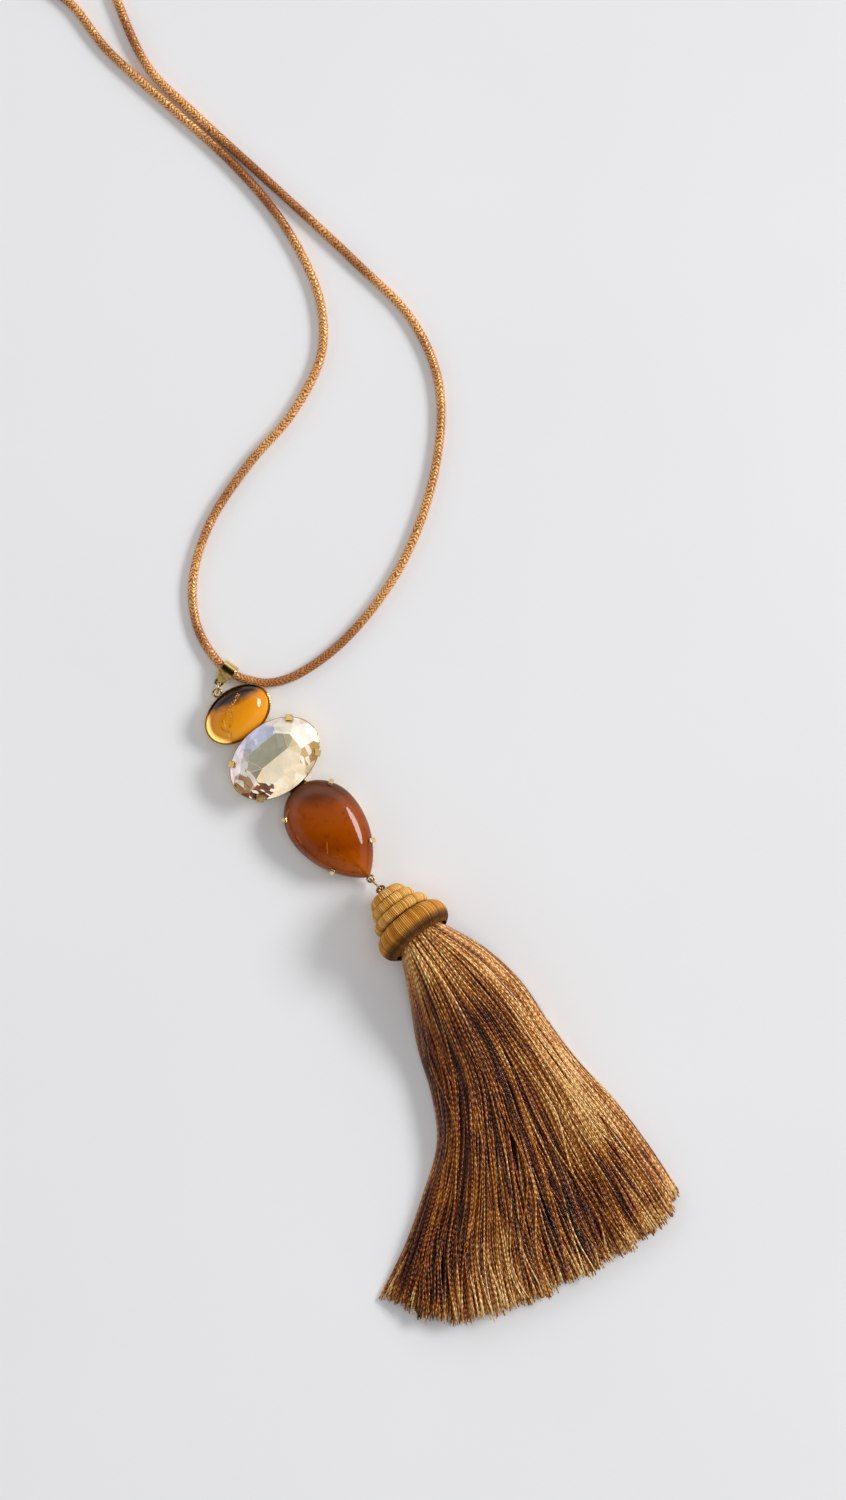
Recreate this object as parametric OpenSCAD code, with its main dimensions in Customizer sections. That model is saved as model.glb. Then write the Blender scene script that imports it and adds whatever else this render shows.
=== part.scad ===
// Tassel necklace lying on a flat surface at z = 0.
// Three set stones hang from a satin cord, and a wound cap with a silk fringe hangs from the stones.
// The origin is under the middle of the crystal, +Y runs up the pendant and +Z out of the stones.

/* [Cord and clasp] */
// Diameter of the satin cord
cord_d = 2.2; // [1.6:0.1:2.4]
// Length of the barrel clasp behind the neck
clasp_len = 12; // [8:0.5:16]
// Greatest diameter of the barrel clasp
clasp_d = 4.6; // [3.6:0.2:6]

/* [Bail] */
// Width of the bail along the cord
bail_w = 3.7; // [2.8:0.1:5]
// Thickness of the bail's folded strip
bail_wall = 0.5; // [0.3:0.05:0.8]
// Room for the cord all round inside the bail
bail_room = 0.35; // [0.25:0.05:0.6]
// Distance from the cord's middle to the bail's eye
bail_reach = 3.9; // [3.6:0.1:5]
// Diameter of the wire of the rings and loops
wire_d = 0.56; // [0.4:0.02:0.7]

/* [Oval cabochon] */
// Length of the oval cabochon across the pendant
cab_len = 17.4; // [15:0.2:21]
// Width of the oval cabochon along the pendant
cab_wid = 11.9; // [10:0.2:15]
// Height of the oval cabochon's back over the surface
cab_seat = 2.3; // [1.8:0.1:3]
// Height of the oval cabochon's straight edge
cab_edge_h = 0.7; // [0.5:0.1:1.4]
// Height of the oval cabochon's dome over its edge
cab_dome_h = 4.4; // [3:0.1:6]
// Thickness of the bezel's wall
bezel_wall = 0.35; // [0.25:0.05:0.6]

/* [Crystal] */
// Length of the crystal across the pendant
crystal_len = 24.6; // [21:0.2:29]
// Width of the crystal along the pendant
crystal_wid = 17.4; // [15:0.2:21]
// Height of the crystal's crown
crown_h = 2.6; // [1.8:0.1:3.4]
// Thickness of the crystal's girdle
girdle_h = 0.4; // [0.3:0.1:0.8]
// Depth of the crystal's pavilion
pavilion_h = 5.1; // [4.4:0.1:6]
// Size of the table as a share of the girdle
table_share = 0.55; // [0.45:0.01:0.65]

/* [Pear cabochon] */
// Length of the pear cabochon
pear_len = 29; // [26:0.5:34]
// Width of the pear cabochon
pear_wid = 19.1; // [16:0.1:21]
// Distance from the pear's round end to its widest place
pear_head = 11; // [9:0.2:13]
// Height of the pear cabochon's straight edge
pear_edge_h = 1.2; // [0.8:0.1:2]
// Height of the pear cabochon's dome over its edge
pear_dome_h = 5.4; // [4:0.1:7]
// Height of the pear's back over the surface
pear_seat = 3.1; // [2.6:0.1:4]

/* [Settings] */
// Thickness of the settings' backs
back_t = 0.8; // [0.5:0.1:1.2]
// How far the oval's and the pear's settings stay off the surface that the crystal's setting rests on
side_lift = 0.3; // [0.2:0.05:0.4]
// Radius of the round foot under the crystal's setting, which everything rests on
foot_r = 5; // [4:0.1:6]
// Height of the round foot
foot_h = 0.1; // [0.1:0.05:0.15]
// Thickness of the claw cups' walls
cup_wall = 0.5; // [0.4:0.05:0.8]
// Width of a claw on the crystal
claw_w = 1.7; // [1.2:0.1:2.2]
// Width of a claw on the pear
pear_claw_w = 1.1; // [0.8:0.1:1.6]
// Thickness of the claws
claw_t = 0.55; // [0.4:0.05:0.8]
// Clearance between a stone and its setting
stone_gap = 0.12; // [0.08:0.02:0.2]
// How far the oval setting tucks under the crystal's edge
cab_tuck = 0.7; // [0.3:0.1:0.9]
// Gap between the crystal and the pear, seen from above
pear_gap = 0.3; // [0.2:0.1:1]

/* [Tassel cap] */
// Radius of the top ring
top_ring_r = 5.25; // [4.8:0.05:5.6]
// Radius of the upper ring
upper_ring_r = 6.3; // [5.9:0.1:6.8]
// Radius of the lower ring
lower_ring_r = 7.9; // [7.4:0.1:8.4]
// Radius of the rim ring, which rests on the surface
rim_ring_r = 10; // [9.4:0.1:10.8]
// Thickness along the cap of the three smaller rings
ring_w = 2.95; // [2.6:0.05:3.3]
// Thickness along the cap of the rim ring
rim_w = 7.1; // [6.2:0.1:7.8]
// Lean of the cap, its open end up
cap_lean = 14; // [8:1:16]
// Distance from the pear's tip to the top of the cap
cap_drop = 5.2; // [4.8:0.1:5.8]
// Clearance between the rings and the head
ring_gap = 0.15; // [0.1:0.05:0.3]

/* [Fringe] */
// Length of the fringe from the cap's mouth
fringe_len = 94; // [80:1:110]
// Radius of the thread bundle in the cap's mouth
neck_r = 7.1; // [6.4:0.1:7.4]
// Number of locks in the fringe
lock_count = 12; // [10:1:14]

/* [Hidden] */
curve_fn = 144;
wire_fn = 24;
lift = 0.03; // pieces rest this far over the surface
wire_r = wire_d / 2;
far = 60; // size of the blocks that cut the facets

// The crystal's levels, from its keel up
keel_z = back_t + 0.3;
girdle_z = keel_z + pavilion_h;
crown_z = girdle_z + girdle_h;
table_z = crown_z + crown_h;
crystal_a = crystal_len / 2;
crystal_b = crystal_wid / 2;
keel_half = 0.33 * crystal_a;
corner_turn = 46.6; // direction of the corner facets
corner_share = 0.6; // how far out the table's corners stand
break_slopes = [36, 46]; // slopes of the break facets beside the ends and beside the long sides
rim_z = girdle_z - 1; // the claw cup ends under the girdle
cup_rim_b = crystal_b + 0.15; // half width of the cup's rim
cup_back_b = cup_rim_b - 2.3; // half width of the cup's back

// The oval cabochon and its bezel
cab_a = cab_len / 2;
cab_b = cab_wid / 2;
bezel_a = cab_a + stone_gap + bezel_wall;
bezel_b = cab_b + stone_gap + bezel_wall;
bezel_h = cab_seat + cab_edge_h + 0.7;
bezel_taper = 1.4; // the oval cup is this much narrower at its back
cab_z = cab_seat + stone_gap / 2;
cab_at = [-0.25, crystal_b + bezel_b - cab_tuck];

// The pear's outline is half an oval and two flank arcs that meet at the tip
pear_r = pear_wid / 2;
pear_tail = pear_len - pear_head;
flank_r = (pear_tail * pear_tail + pear_r * pear_r) / (2 * pear_r);
flank_x = flank_r - pear_r;
pear_at = [-0.35, -(crystal_b + pear_gap + pear_head)];
pear_tip = pear_at.y - pear_tail;
pear_inset = 0.9; // the pear's cup stands this far inside the stone's outline
high_claw_turn = 37; // place of the two claws over the pear's widest place
low_claw_turn = 31; // place of the two claws under it

// Loops, rings and the bail
loop_r = 1.05;
top_loop_at = [cab_at.x - 0.65, cab_at.y + bezel_b + loop_r - 0.05, bezel_h / 2];
tip_loop_r = 0.85;
tip_loop_at = [pear_at.x, pear_tip - 0.4, pear_seat - wire_r - 0.25];
ring_r = 1.3;
ring_turn = 42;
bail_in = cord_d / 2 + bail_room;
bail_out = bail_in + bail_wall;
bail_turn = 14;
bail_slope = 25; // slope of the bail's legs towards its eye
eye_hole_r = 0.52;
eye_wall = 0.32;
eye_w = 1.8;
ring_at = [top_loop_at.x + ring_r * cos(ring_turn), top_loop_at.y + ring_r * sin(ring_turn), bail_out + lift];
bail_eye_at = [top_loop_at.x + 2 * ring_r * cos(ring_turn), top_loop_at.y + 2 * ring_r * sin(ring_turn)];
bail_at = [
    bail_eye_at.x + bail_reach * cos(bail_turn), bail_eye_at.y + bail_reach * sin(bail_turn), bail_out + lift
];

// The cap: w runs along its axis from the top to the mouth
mouth_w = 3 * ring_w + rim_w - 0.35;
rim_mid_w = mouth_w - rim_w / 2;
cap_x = 0;
cap_y = pear_tip - cap_drop;
rim_rib = rim_w / 2 - 0.05;
cap_z = (rim_ring_r - rim_rib) * cos(cap_lean) + rim_rib - rim_mid_w * sin(cap_lean) + lift;
top_hole_r = 1.5;
rim_hole_r = neck_r + 0.6;
eye_r = 0.95;
eye_thread_r = 0.38;
eye_drop = 50; // the thread eye hangs this steeply from the cap's top
eye_stem_w = 0.6;

// Where the link's two ends lie: round the outer wire of the frame's loop and of the thread eye
link_low = [tip_loop_at.x, tip_loop_at.y - tip_loop_r, tip_loop_at.z];
link_high = [
    cap_x,
    cap_y + eye_stem_w * cos(cap_lean) + 2 * eye_r * cos(eye_drop),
    cap_z - eye_stem_w * sin(cap_lean) - 2 * eye_r * sin(eye_drop)
];
link_end_r = 0.85;

// The cord's route, chosen along the way it lies: x, y and how far it is lifted off the surface.
// It starts at the clasp, runs down the left strand, through the bail and up the right strand.
clasp_at = [10, 255];
cord_gap = 0.05;
clasp_lift = clasp_d / 2 - cord_d / 2;
bail_lift = bail_wall + 0.13;
route_middle = [
    [-14, 249, 0], [-25, 232, 0], [-19, 213, 0], [3, 203, 0], [28, 204, 0], [53, 204.5, 0], [71, 197, 0],
    [78.7, 181, 0], [78.9, 164, 0], [82.2, 143, 0], [85.5, 121, 0], [85.6, 101, 0], [81, 82.5, 0],
    [72.8, 71.5, 0], [58, 64.5, 0], [41, 61.3, 0], [24, 55.8, 0], [11.5, 47, 0], [5.3, 37, 0],
    [4.2, 26.8, bail_lift], [5.4, 22.3, bail_lift], [7.1, 19.6, 0.3], [10.4, 15.9, 0], [17, 12.9, 0],
    [33, 12.2, 0], [56, 18.2, 0],
    [78, 32.2, 0], [91, 47.5, 0], [95.6, 64, 0], [93.7, 84, 0], [90, 110, 0], [85.8, 138, 0], [84.1, 154, 0],
    [88.5, 172, 0], [96, 191, 0], [96.5, 213, 0], [85, 235, 0], [62, 250.5, 0]
];
route = concat(
    [[clasp_at.x - clasp_len / 2 - cord_gap, clasp_at.y, clasp_lift]],
    route_middle,
    [[clasp_at.x + clasp_len / 2 + cord_gap, clasp_at.y, clasp_lift]]
);
cord_sides = 8;
cord_step = 14; // longest distance between two rings of the cord
cord_bend = 20; // greatest bend between two rings of the cord, in degrees

// The fan of the fringe: one row for each station from the mouth to the thread ends.
// half: half the fringe's thickness, as a share of neck_r
// floor: 0 where it hangs at the mouth's height, 1 where it lies on the surface
// round: how round the bundle is across, 2 for a circle
// guides: six guide lines from the left edge to the right, as shares of fringe_len, across and down
FAN = [
    [0.81, 0.00, 2, [[-.056, -.01], [-.036, -.01], [-.019, -.01], [.015, -.01], [.038, -.01], [.062, -.01]]],
    [0.94, 0.65, 2, [[-.127, .120], [-.080, .130], [-.035, .140], [.010, .140], [.065, .140], [.115, .125]]],
    [0.82, 1.00, 3, [[-.190, .230], [-.120, .255], [-.065, .275], [.005, .280], [.070, .280], [.135, .255]]],
    [0.64, 1.00, 3, [[-.240, .350], [-.170, .380], [-.110, .415], [-.015, .425], [.065, .425], [.125, .385]]],
    [0.50, 1.00, 3, [[-.310, .460], [-.255, .495], [-.180, .540], [-.050, .570], [.055, .570], [.120, .520]]],
    [0.41, 1.00, 4, [[-.430, .545], [-.360, .600], [-.265, .670], [-.090, .710], [.045, .710], [.130, .660]]],
    [0.35, 1.00, 4, [[-.555, .620], [-.480, .700], [-.345, .800], [-.130, .850], [.035, .850], [.125, .810]]],
    [0.28, 1.00, 4, [[-.690, .680], [-.585, .835], [-.405, .930], [-.160, .985], [.020, .995], [.112, .955]]]
];
stations = len(FAN);
guides = len(FAN[0][3]);
lock_sides = 10;
lock_half = 1.4 / (2 * lock_count); // half a lock's width, as a share of the fan: neighbours overlap
end_vary = 0.008; // unevenness of the lock ends, as a share of fringe_len
thick_vary = 0.07; // unevenness of the locks' thickness
mouth_y = cap_y - (mouth_w - 1.1) * cos(cap_lean);
mouth_z = cap_z + (mouth_w - 1.1) * sin(cap_lean);

// Helpers

// Wraps what follows in the cap's own frame, with its axis along z
module on_cap() {
    translate([cap_x, cap_y, cap_z]) rotate([90 - cap_lean, 0, 0]) children();
}

// Oval block of half-axes a and b, its half-axis b growing by flare towards its top
module oval_block(a, b, h, flare = 0) {
    scale([a / b, 1, 1]) cylinder(h = h, r1 = b, r2 = b + flare, $fn = curve_fn);
}

// The pear's outline, grown by g: round its half oval and then along both flanks.
// The middle of its widest place is at the origin and its tip towards -Y.
function pear_line(g = 0) =
    let(r = flank_r + g, tip = acos(flank_x / r))
    concat(
        [for (i = [0:27]) [(pear_r + g) * cos(180 * i / 28), (pear_head + g) * sin(180 * i / 28)]],
        [for (i = [0:13]) [flank_x - r * cos(tip * i / 14), -r * sin(tip * i / 14)]],
        [for (i = [14:-1:1]) [r * cos(tip * i / 14) - flank_x, -r * sin(tip * i / 14)]]
    );

// Ring of round wire lying flat at p
module wire_loop(p, r, wire) {
    translate(p) rotate_extrude($fn = 64) translate([r, 0]) circle(wire, $fn = wire_fn);
}

// Claw of width w: x runs outwards from the stone's edge and y is the height.
// It comes from its foot in the cup, passes the stone's edge at edge_y and bends over the stone at knee_y.
module claw(w, foot, edge_y, knee_y, reach, slope) {
    in = stone_gap;
    out = stone_gap + claw_t;
    tip = [-reach, knee_y + (reach + in) * tan(slope)];
    away = claw_t * [sin(slope), cos(slope)];
    back = 0.3 * claw_t * [cos(slope), -sin(slope)];
    rotate([90, 0, 0]) translate([0, 0, -w / 2]) linear_extrude(w) polygon([
        [in, knee_y], [in, edge_y], [foot.x, foot.y + claw_t], foot, [out - 0.2, foot.y], [out, foot.y + 0.2],
        [out, knee_y + claw_t * cos(slope) / (1 + sin(slope))], tip + away + back, tip + 0.6 * away, tip
    ]);
}

// Half-space on the stone's side of a crown facet through the place at distance d and height z
module below_facet(turn, d, z, slope) {
    translate([d * cos(turn), d * sin(turn), z]) rotate([0, slope, turn])
        translate([-far, -far, -2 * far]) cube(2 * far);
}

// Half-space on the stone's side of a pavilion facet
module above_facet(turn, d, z, slope) {
    translate([d * cos(turn), d * sin(turn), z]) rotate([0, 180 - slope, turn])
        translate([-far, -far, -2 * far]) cube(2 * far);
}

// How far the crystal's girdle reaches in a direction
function reach_of(turn) = norm([crystal_a * cos(turn), crystal_b * sin(turn)]);

// Cord and clasp

function along(i) = let(n = len(route))
    i < 0 ? 2 * route[0] - route[1] : i >= n ? 2 * route[n - 1] - route[n - 2] : route[i];

function mix(p, q, t, a, b) = p * ((b - t) / (b - a)) + q * ((t - a) / (b - a));

// Place on the smooth curve through the route's points, a share s of the way from point i to the next
function on_route(i, s) =
    let(
        p0 = along(i - 1), p1 = along(i), p2 = along(i + 1), p3 = along(i + 2),
        t1 = sqrt(norm(p1 - p0)), t2 = t1 + sqrt(norm(p2 - p1)), t3 = t2 + sqrt(norm(p3 - p2)),
        t = t1 + (t2 - t1) * s,
        a1 = mix(p0, p1, t, 0, t1), a2 = mix(p1, p2, t, t1, t2), a3 = mix(p2, p3, t, t2, t3),
        b1 = mix(a1, a2, t, 0, t2), b2 = mix(a2, a3, t, t1, t3)
    )
    mix(b1, b2, t, t1, t2);

// Angle between the way the route enters the stretch from point i to the next and the way it leaves it
function bend_at(i) =
    let(v = along(i + 1) - along(i - 1), w = along(i + 2) - along(i))
    acos(min(1, v * w / norm(v) / norm(w)));

cord_line = concat(
    [
        for (i = [0:len(route) - 2])
            let(n = max(ceil(norm(route[i + 1] - route[i]) / cord_step), ceil(bend_at(i) / cord_bend)))
            for (k = [0:n - 1]) on_route(i, k / n)
    ],
    [route[len(route) - 1]]
);

// Direction of the cord at its ring i: along x at both ends, where it meets the clasp
function cord_way(i) =
    let(n = len(cord_line), v = cord_line[min(i + 1, n - 1)] - cord_line[max(i - 1, 0)])
    i == 0 || i == n - 1 ? [-1, 0, 0] : v / norm(v);

function ring_at(p, way, r, sides) =
    let(side = cross(way, [0, 0, 1]) / norm(cross(way, [0, 0, 1])), up = cross(side, way))
    [
        for (k = [0:sides - 1])
            let(a = 360 * (k + 0.5) / sides) p + r * cos(a) * side + r * sin(a) * up
    ];

module tube(rings) {
    sides = len(rings[0]);
    count = len(rings);
    polyhedron(
        points = [for (ring = rings) for (p = ring) p],
        faces = concat(
            [[for (k = [0:sides - 1]) k]],
            [
                for (i = [0:count - 2]) for (k = [0:sides - 1])
                    let(a = i * sides + k, b = i * sides + (k + 1) % sides)
                    each [[a, a + sides, b], [b, a + sides, b + sides]]
            ],
            [[for (k = [sides - 1:-1:0]) (count - 1) * sides + k]]
        )
    );
}

module cord() {
    raise = [0, 0, cord_d / 2 + lift];
    color("peru") tube([
        for (i = [0:len(cord_line) - 1]) ring_at(cord_line[i] + raise, cord_way(i), cord_d / 2, cord_sides)
    ]);
}

module clasp() {
    half = clasp_len / 2;
    end_r = 0.36 * clasp_d;
    color("gold") translate([clasp_at.x, clasp_at.y, clasp_d / 2 + lift]) rotate([0, 90, 0])
        rotate_extrude($fn = 64) polygon([
            [0, -half], [end_r, -half], [end_r, -half + 0.8], [0.44 * clasp_d, -half + 1.4],
            [clasp_d / 2, -0.5 * half], [clasp_d / 2, -0.3], [0.47 * clasp_d, -0.15], [0.47 * clasp_d, 0.15],
            [clasp_d / 2, 0.3], [clasp_d / 2, 0.5 * half], [0.44 * clasp_d, half - 1.4],
            [end_r, half - 0.8], [end_r, half], [0, half]
        ]);
}

// Bail and its ring

// Drop-shaped section of radius r whose sides run to a point under the bail's slope
module drop_shape(r) {
    circle(r, $fn = 96);
    polygon([
        [r / sin(bail_slope), 0],
        [r * sin(bail_slope), r * cos(bail_slope)],
        [r * sin(bail_slope), -r * cos(bail_slope)]
    ]);
}

module bail() {
    tip = bail_reach + eye_hole_r + eye_wall;
    color("goldenrod") translate(bail_at) rotate([0, 0, 180 + bail_turn]) difference() {
        intersection() {
            rotate([90, 0, 0]) translate([0, 0, -bail_w / 2]) linear_extrude(bail_w) {
                drop_shape(bail_out);
                translate([bail_reach - 1, -bail_wall]) square([tip - bail_reach + 1, 2 * bail_wall]);
            }
            translate([0, 0, -bail_out - 1]) linear_extrude(2 * bail_out + 2) polygon([
                [-bail_out - 1, -bail_w / 2], [0.7 * bail_out, -bail_w / 2], [tip, -eye_w / 2],
                [tip, eye_w / 2], [0.7 * bail_out, bail_w / 2], [-bail_out - 1, bail_w / 2]
            ]);
        }
        rotate([90, 0, 0]) translate([0, 0, -bail_w]) linear_extrude(2 * bail_w) drop_shape(bail_in);
        translate([bail_reach, 0, -bail_out]) cylinder(h = 2 * bail_out, r = eye_hole_r, $fn = 48);
    }
}

module bail_ring() {
    color("gold") translate(ring_at) rotate([0, 0, ring_turn]) rotate([90, 0, 0])
        rotate_extrude($fn = 64) translate([ring_r, 0]) circle(wire_r, $fn = wire_fn);
}

// Settings

// Oval cone with the crystal's proportions, from half width b1 up to half width b2
module crystal_cone(b1, b2, h) {
    scale([crystal_a / crystal_b, 1, 1]) cylinder(h = h, r1 = b1, r2 = b2, $fn = curve_fn);
}

module crystal_cup() {
    cylinder(h = back_t / 2, r = foot_r, $fn = 96);
    translate([0, 0, foot_h]) crystal_cone(cup_back_b, cup_rim_b, rim_z - foot_h);
}

module crystal_hollow() {
    past = 0.5; // the hollow runs this far past the rim
    b1 = cup_back_b - cup_wall;
    b2 = cup_rim_b - cup_wall;
    translate([0, 0, back_t])
        crystal_cone(b1, b2 + past * (b2 - b1) / (rim_z - back_t), rim_z - back_t + past);
}

module crystal_claws() {
    for (turn = [41, 139, 221, 319]) {
        translate([crystal_a * cos(turn), crystal_b * sin(turn), 0])
            rotate([0, 0, atan2(crystal_a * sin(turn), crystal_b * cos(turn))])
                claw(claw_w, [-1.3, rim_z - 1.5], rim_z - 0.1, crown_z + stone_gap, 1.25, 34);
    }
}

module bezel_cup() {
    low_share = (bezel_b - bezel_taper) / bezel_b;
    translate(cab_at) {
        translate([0, 0, side_lift])
            oval_block(low_share * bezel_a, low_share * bezel_b, cab_seat - side_lift, bezel_taper);
        translate([0, 0, cab_seat]) oval_block(bezel_a, bezel_b, bezel_h - cab_seat);
    }
}

module bezel_hollow() {
    low_share = (cab_b - bezel_taper - 0.3) / cab_b;
    translate([cab_at.x, cab_at.y, 0]) {
        translate([0, 0, side_lift + back_t])
            oval_block(low_share * cab_a, low_share * cab_b, cab_seat, bezel_taper - 0.2);
        translate([0, 0, cab_seat]) oval_block(cab_a + stone_gap, cab_b + stone_gap, bezel_h);
    }
}

module pear_cup() {
    translate([pear_at.x, pear_at.y, side_lift])
        linear_extrude(pear_seat - stone_gap / 2 - side_lift) polygon(pear_line(-pear_inset));
}

module pear_hollow() {
    translate([pear_at.x, pear_at.y, side_lift + back_t])
        linear_extrude(pear_seat) polygon(pear_line(-pear_inset - cup_wall));
}

module pear_claws() {
    foot = [-pear_inset - 0.3, pear_seat - 1.2];
    knee_y = pear_seat + pear_edge_h + 0.8;
    for (turn = [high_claw_turn, 180 - high_claw_turn]) {
        translate([pear_at.x + pear_r * cos(turn), pear_at.y + pear_head * sin(turn), 0])
            rotate([0, 0, atan2(pear_r * sin(turn), pear_head * cos(turn))])
                claw(pear_claw_w, foot, pear_seat - 0.3, knee_y, 0.9, 60);
    }
    for (side = [1, -1]) {
        x = side * (flank_r * cos(low_claw_turn) - flank_x);
        translate([pear_at.x + x, pear_at.y - flank_r * sin(low_claw_turn), 0])
            rotate([0, 0, side > 0 ? -low_claw_turn : 180 + low_claw_turn])
                claw(pear_claw_w, foot, pear_seat - 0.3, knee_y, 0.9, 60);
    }
}

// Blocks of solder between the cups, cut clear of the stones by the hollows
module solder_joins() {
    join_w = 5;
    join_h = 2.2;
    join_z = side_lift - 0.1;
    in_y = cup_back_b - 0.4;
    translate([-join_w / 2, in_y, join_z]) cube([join_w, crystal_b + 1.1 - in_y, join_h]);
    translate([-join_w / 2, -crystal_b - pear_gap - pear_inset - 0.6, join_z])
        cube([join_w, crystal_b + pear_gap + pear_inset + 0.6 - in_y, join_h]);
}

module end_loops() {
    wire_loop(top_loop_at, loop_r, wire_r);
    wire_loop(tip_loop_at, tip_loop_r, wire_r);
    translate([tip_loop_at.x - 0.5, tip_loop_at.y + tip_loop_r - 0.1, tip_loop_at.z - 0.2])
        cube([1, 1.8, 0.4]);
}

module pendant_frame() {
    color("gold") {
        difference() {
            union() {
                crystal_cup();
                bezel_cup();
                pear_cup();
                solder_joins();
            }
            crystal_hollow();
            bezel_hollow();
            pear_hollow();
        }
        crystal_claws();
        pear_claws();
        end_loops();
    }
}

// Stones

// Cabochon over the outline: a straight edge and a dome that closes in on its middle
module domed_stone(line, middle, edge_h, dome_h) {
    levels = 10;
    tube(concat(
        [[for (p = line) [p.x, p.y, 0]]],
        [
            for (k = [0:levels - 1]) [
                for (p = line)
                    let(a = 90 * k / levels, q = middle + (p - middle) * cos(a))
                        [q.x, q.y, edge_h + dome_h * sin(a)]
            ]
        ]
    ));
}

module oval_cabochon() {
    line = [for (i = [0:59]) [cab_a * cos(6 * i), cab_b * sin(6 * i)]];
    color("darkorange") translate([cab_at.x, cab_at.y, cab_z])
        domed_stone(line, [0, 0], cab_edge_h, cab_dome_h);
}

// A crown and a pavilion of eight main facets and eight break facets each, with a keel under the middle
module crystal() {
    color("wheat") intersection() {
        translate([0, 0, keel_z - 1]) oval_block(crystal_a, crystal_b, table_z - keel_z + 1);
        crown_facets();
        pavilion_facets();
    }
}

module crown_facets() {
    sides = [0, 90, 180, 270];
    corners = [corner_turn, 180 - corner_turn, 180 + corner_turn, -corner_turn];
    end_breaks = [corner_turn / 2, 180 - corner_turn / 2, 180 + corner_turn / 2, -corner_turn / 2];
    long_turn = 45 + corner_turn / 2;
    long_breaks = [long_turn, 180 - long_turn, 180 + long_turn, -long_turn];
    intersection() {
        intersection_for(turn = sides) main_facet(turn, table_share);
        intersection_for(turn = corners) main_facet(turn, corner_share);
        intersection_for(turn = end_breaks) below_facet(turn, reach_of(turn), crown_z, break_slopes[0]);
        intersection_for(turn = long_breaks) below_facet(turn, reach_of(turn), crown_z, break_slopes[1]);
    }
}

module main_facet(turn, share) {
    below_facet(turn, reach_of(turn), crown_z, atan(crown_h / ((1 - share) * reach_of(turn))));
}

module pavilion_facets() {
    mains = [0, 45, 90, 135, 180, 225, 270, 315];
    flat = 27;
    steep = 45;
    intersection() {
        intersection_for(turn = mains) above_facet(turn, keel_half * abs(cos(turn)), keel_z, flat);
        intersection_for(turn = mains) above_facet(turn, reach_of(turn), girdle_z, steep);
        intersection_for(turn = mains) above_facet(turn + 22.5, reach_of(turn + 22.5), girdle_z, steep + 4);
    }
}

module pear_cabochon() {
    color("sienna") translate([pear_at.x, pear_at.y, pear_seat])
        domed_stone(pear_line(), [0, -0.05 * pear_len], pear_edge_h, pear_dome_h);
}

// Link and cap

module tassel_link() {
    way = link_high - link_low;
    span = norm(way);
    wire = wire_r;
    color("gold") translate(link_low)
        rotate([0, -asin(way.z / span), atan2(way.y, way.x)]) rotate([90, 0, 0]) {
            rotate([0, 0, 90]) rotate_extrude(angle = 180, $fn = 64)
                translate([link_end_r, 0]) circle(wire, $fn = wire_fn);
            translate([span, 0, 0]) rotate([0, 0, -90]) rotate_extrude(angle = 180, $fn = 64)
                translate([link_end_r, 0]) circle(wire, $fn = wire_fn);
            for (side = [-1, 1])
                translate([0, side * link_end_r, 0]) rotate([0, 90, 0])
                    cylinder(h = span, r = wire, $fn = wire_fn);
        }
}

// Ring of the cap: a round rib of radius r between w1 and w2, round the head
module wound_ring(r, w1, w2, hole_r) {
    rib = (w2 - w1) / 2 + 0.12;
    on_cap() rotate_extrude($fn = curve_fn) intersection() {
        translate([r - rib, (w1 + w2) / 2]) circle(rib, $fn = 64);
        translate([hole_r, w1]) square([r, w2 - w1]);
    }
}

module cap_ring_top() {
    rib = ring_w - 0.45;
    color("goldenrod") on_cap() rotate_extrude($fn = curve_fn) intersection() {
        translate([top_ring_r - rib, rib - 0.1]) circle(rib, $fn = 64);
        translate([top_hole_r, -0.1]) square([top_ring_r, ring_w - 0.45]);
    }
}

module cap_ring_upper() {
    color("goldenrod") wound_ring(upper_ring_r, ring_w - 0.4, 2 * ring_w - 0.45, core_r(1) + ring_gap);
}

module cap_ring_lower() {
    color("goldenrod") wound_ring(lower_ring_r, 2 * ring_w - 0.3, 3 * ring_w - 0.35, core_r(2) + ring_gap);
}

module cap_ring_rim() {
    color("chocolate") wound_ring(rim_ring_r, 3 * ring_w - 0.2, mouth_w, rim_hole_r);
}

// Radius of the head inside each ring, from the top ring to the rim
function core_r(i) = [top_hole_r - ring_gap, upper_ring_r - 2.6, lower_ring_r - 3.2, neck_r][i];

// Fringe

// Place at station k, a share u of the way from the left edge to the right
function fan_at(k, u) =
    let(
        row = FAN[k][3], g = min(floor(u * (guides - 1)), guides - 2), s = u * (guides - 1) - g,
        p = row[g] * (1 - s) + row[g + 1] * s
    )
    [cap_x + fringe_len * p.x, mouth_y - fringe_len * p.y];

// Lock i is the slice of the fan round the share u
function lock_u(i) = lock_half + (1 - 2 * lock_half) * i / (lock_count - 1);

// Ring of lock i at station k; where a stretch ends, its ring tucks a little way into the next stretch
function lock_ring(i, k, tuck = 0) =
    let(
        u = lock_u(i),
        way = fan_at(min(k + 1, stations - 1), u) - fan_at(max(k - 1, 0), u),
        p = fan_at(k, u) + (end_vary * fringe_len * sin(137 * i) + 8 * tuck) * way / norm(way),
        side = (fan_at(k, u + lock_half) - fan_at(k, u - lock_half)) / 2,
        size = 1 - tuck,
        thick = 1 - thick_vary * abs(sin(77 * i + 40 * k)),
        deep = thick * neck_r * FAN[k][0] * sqrt(1 - pow(abs(2 * u - 1), FAN[k][2])),
        z = (1 - FAN[k][1]) * mouth_z + FAN[k][1] * (deep + lift)
    )
    [
        for (j = [0:lock_sides - 1])
            let(a = 360 * (j + 0.5) / lock_sides, q = p + size * cos(a) * side)
            [q.x, q.y, z + size * deep * sin(a)]
    ];

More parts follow.
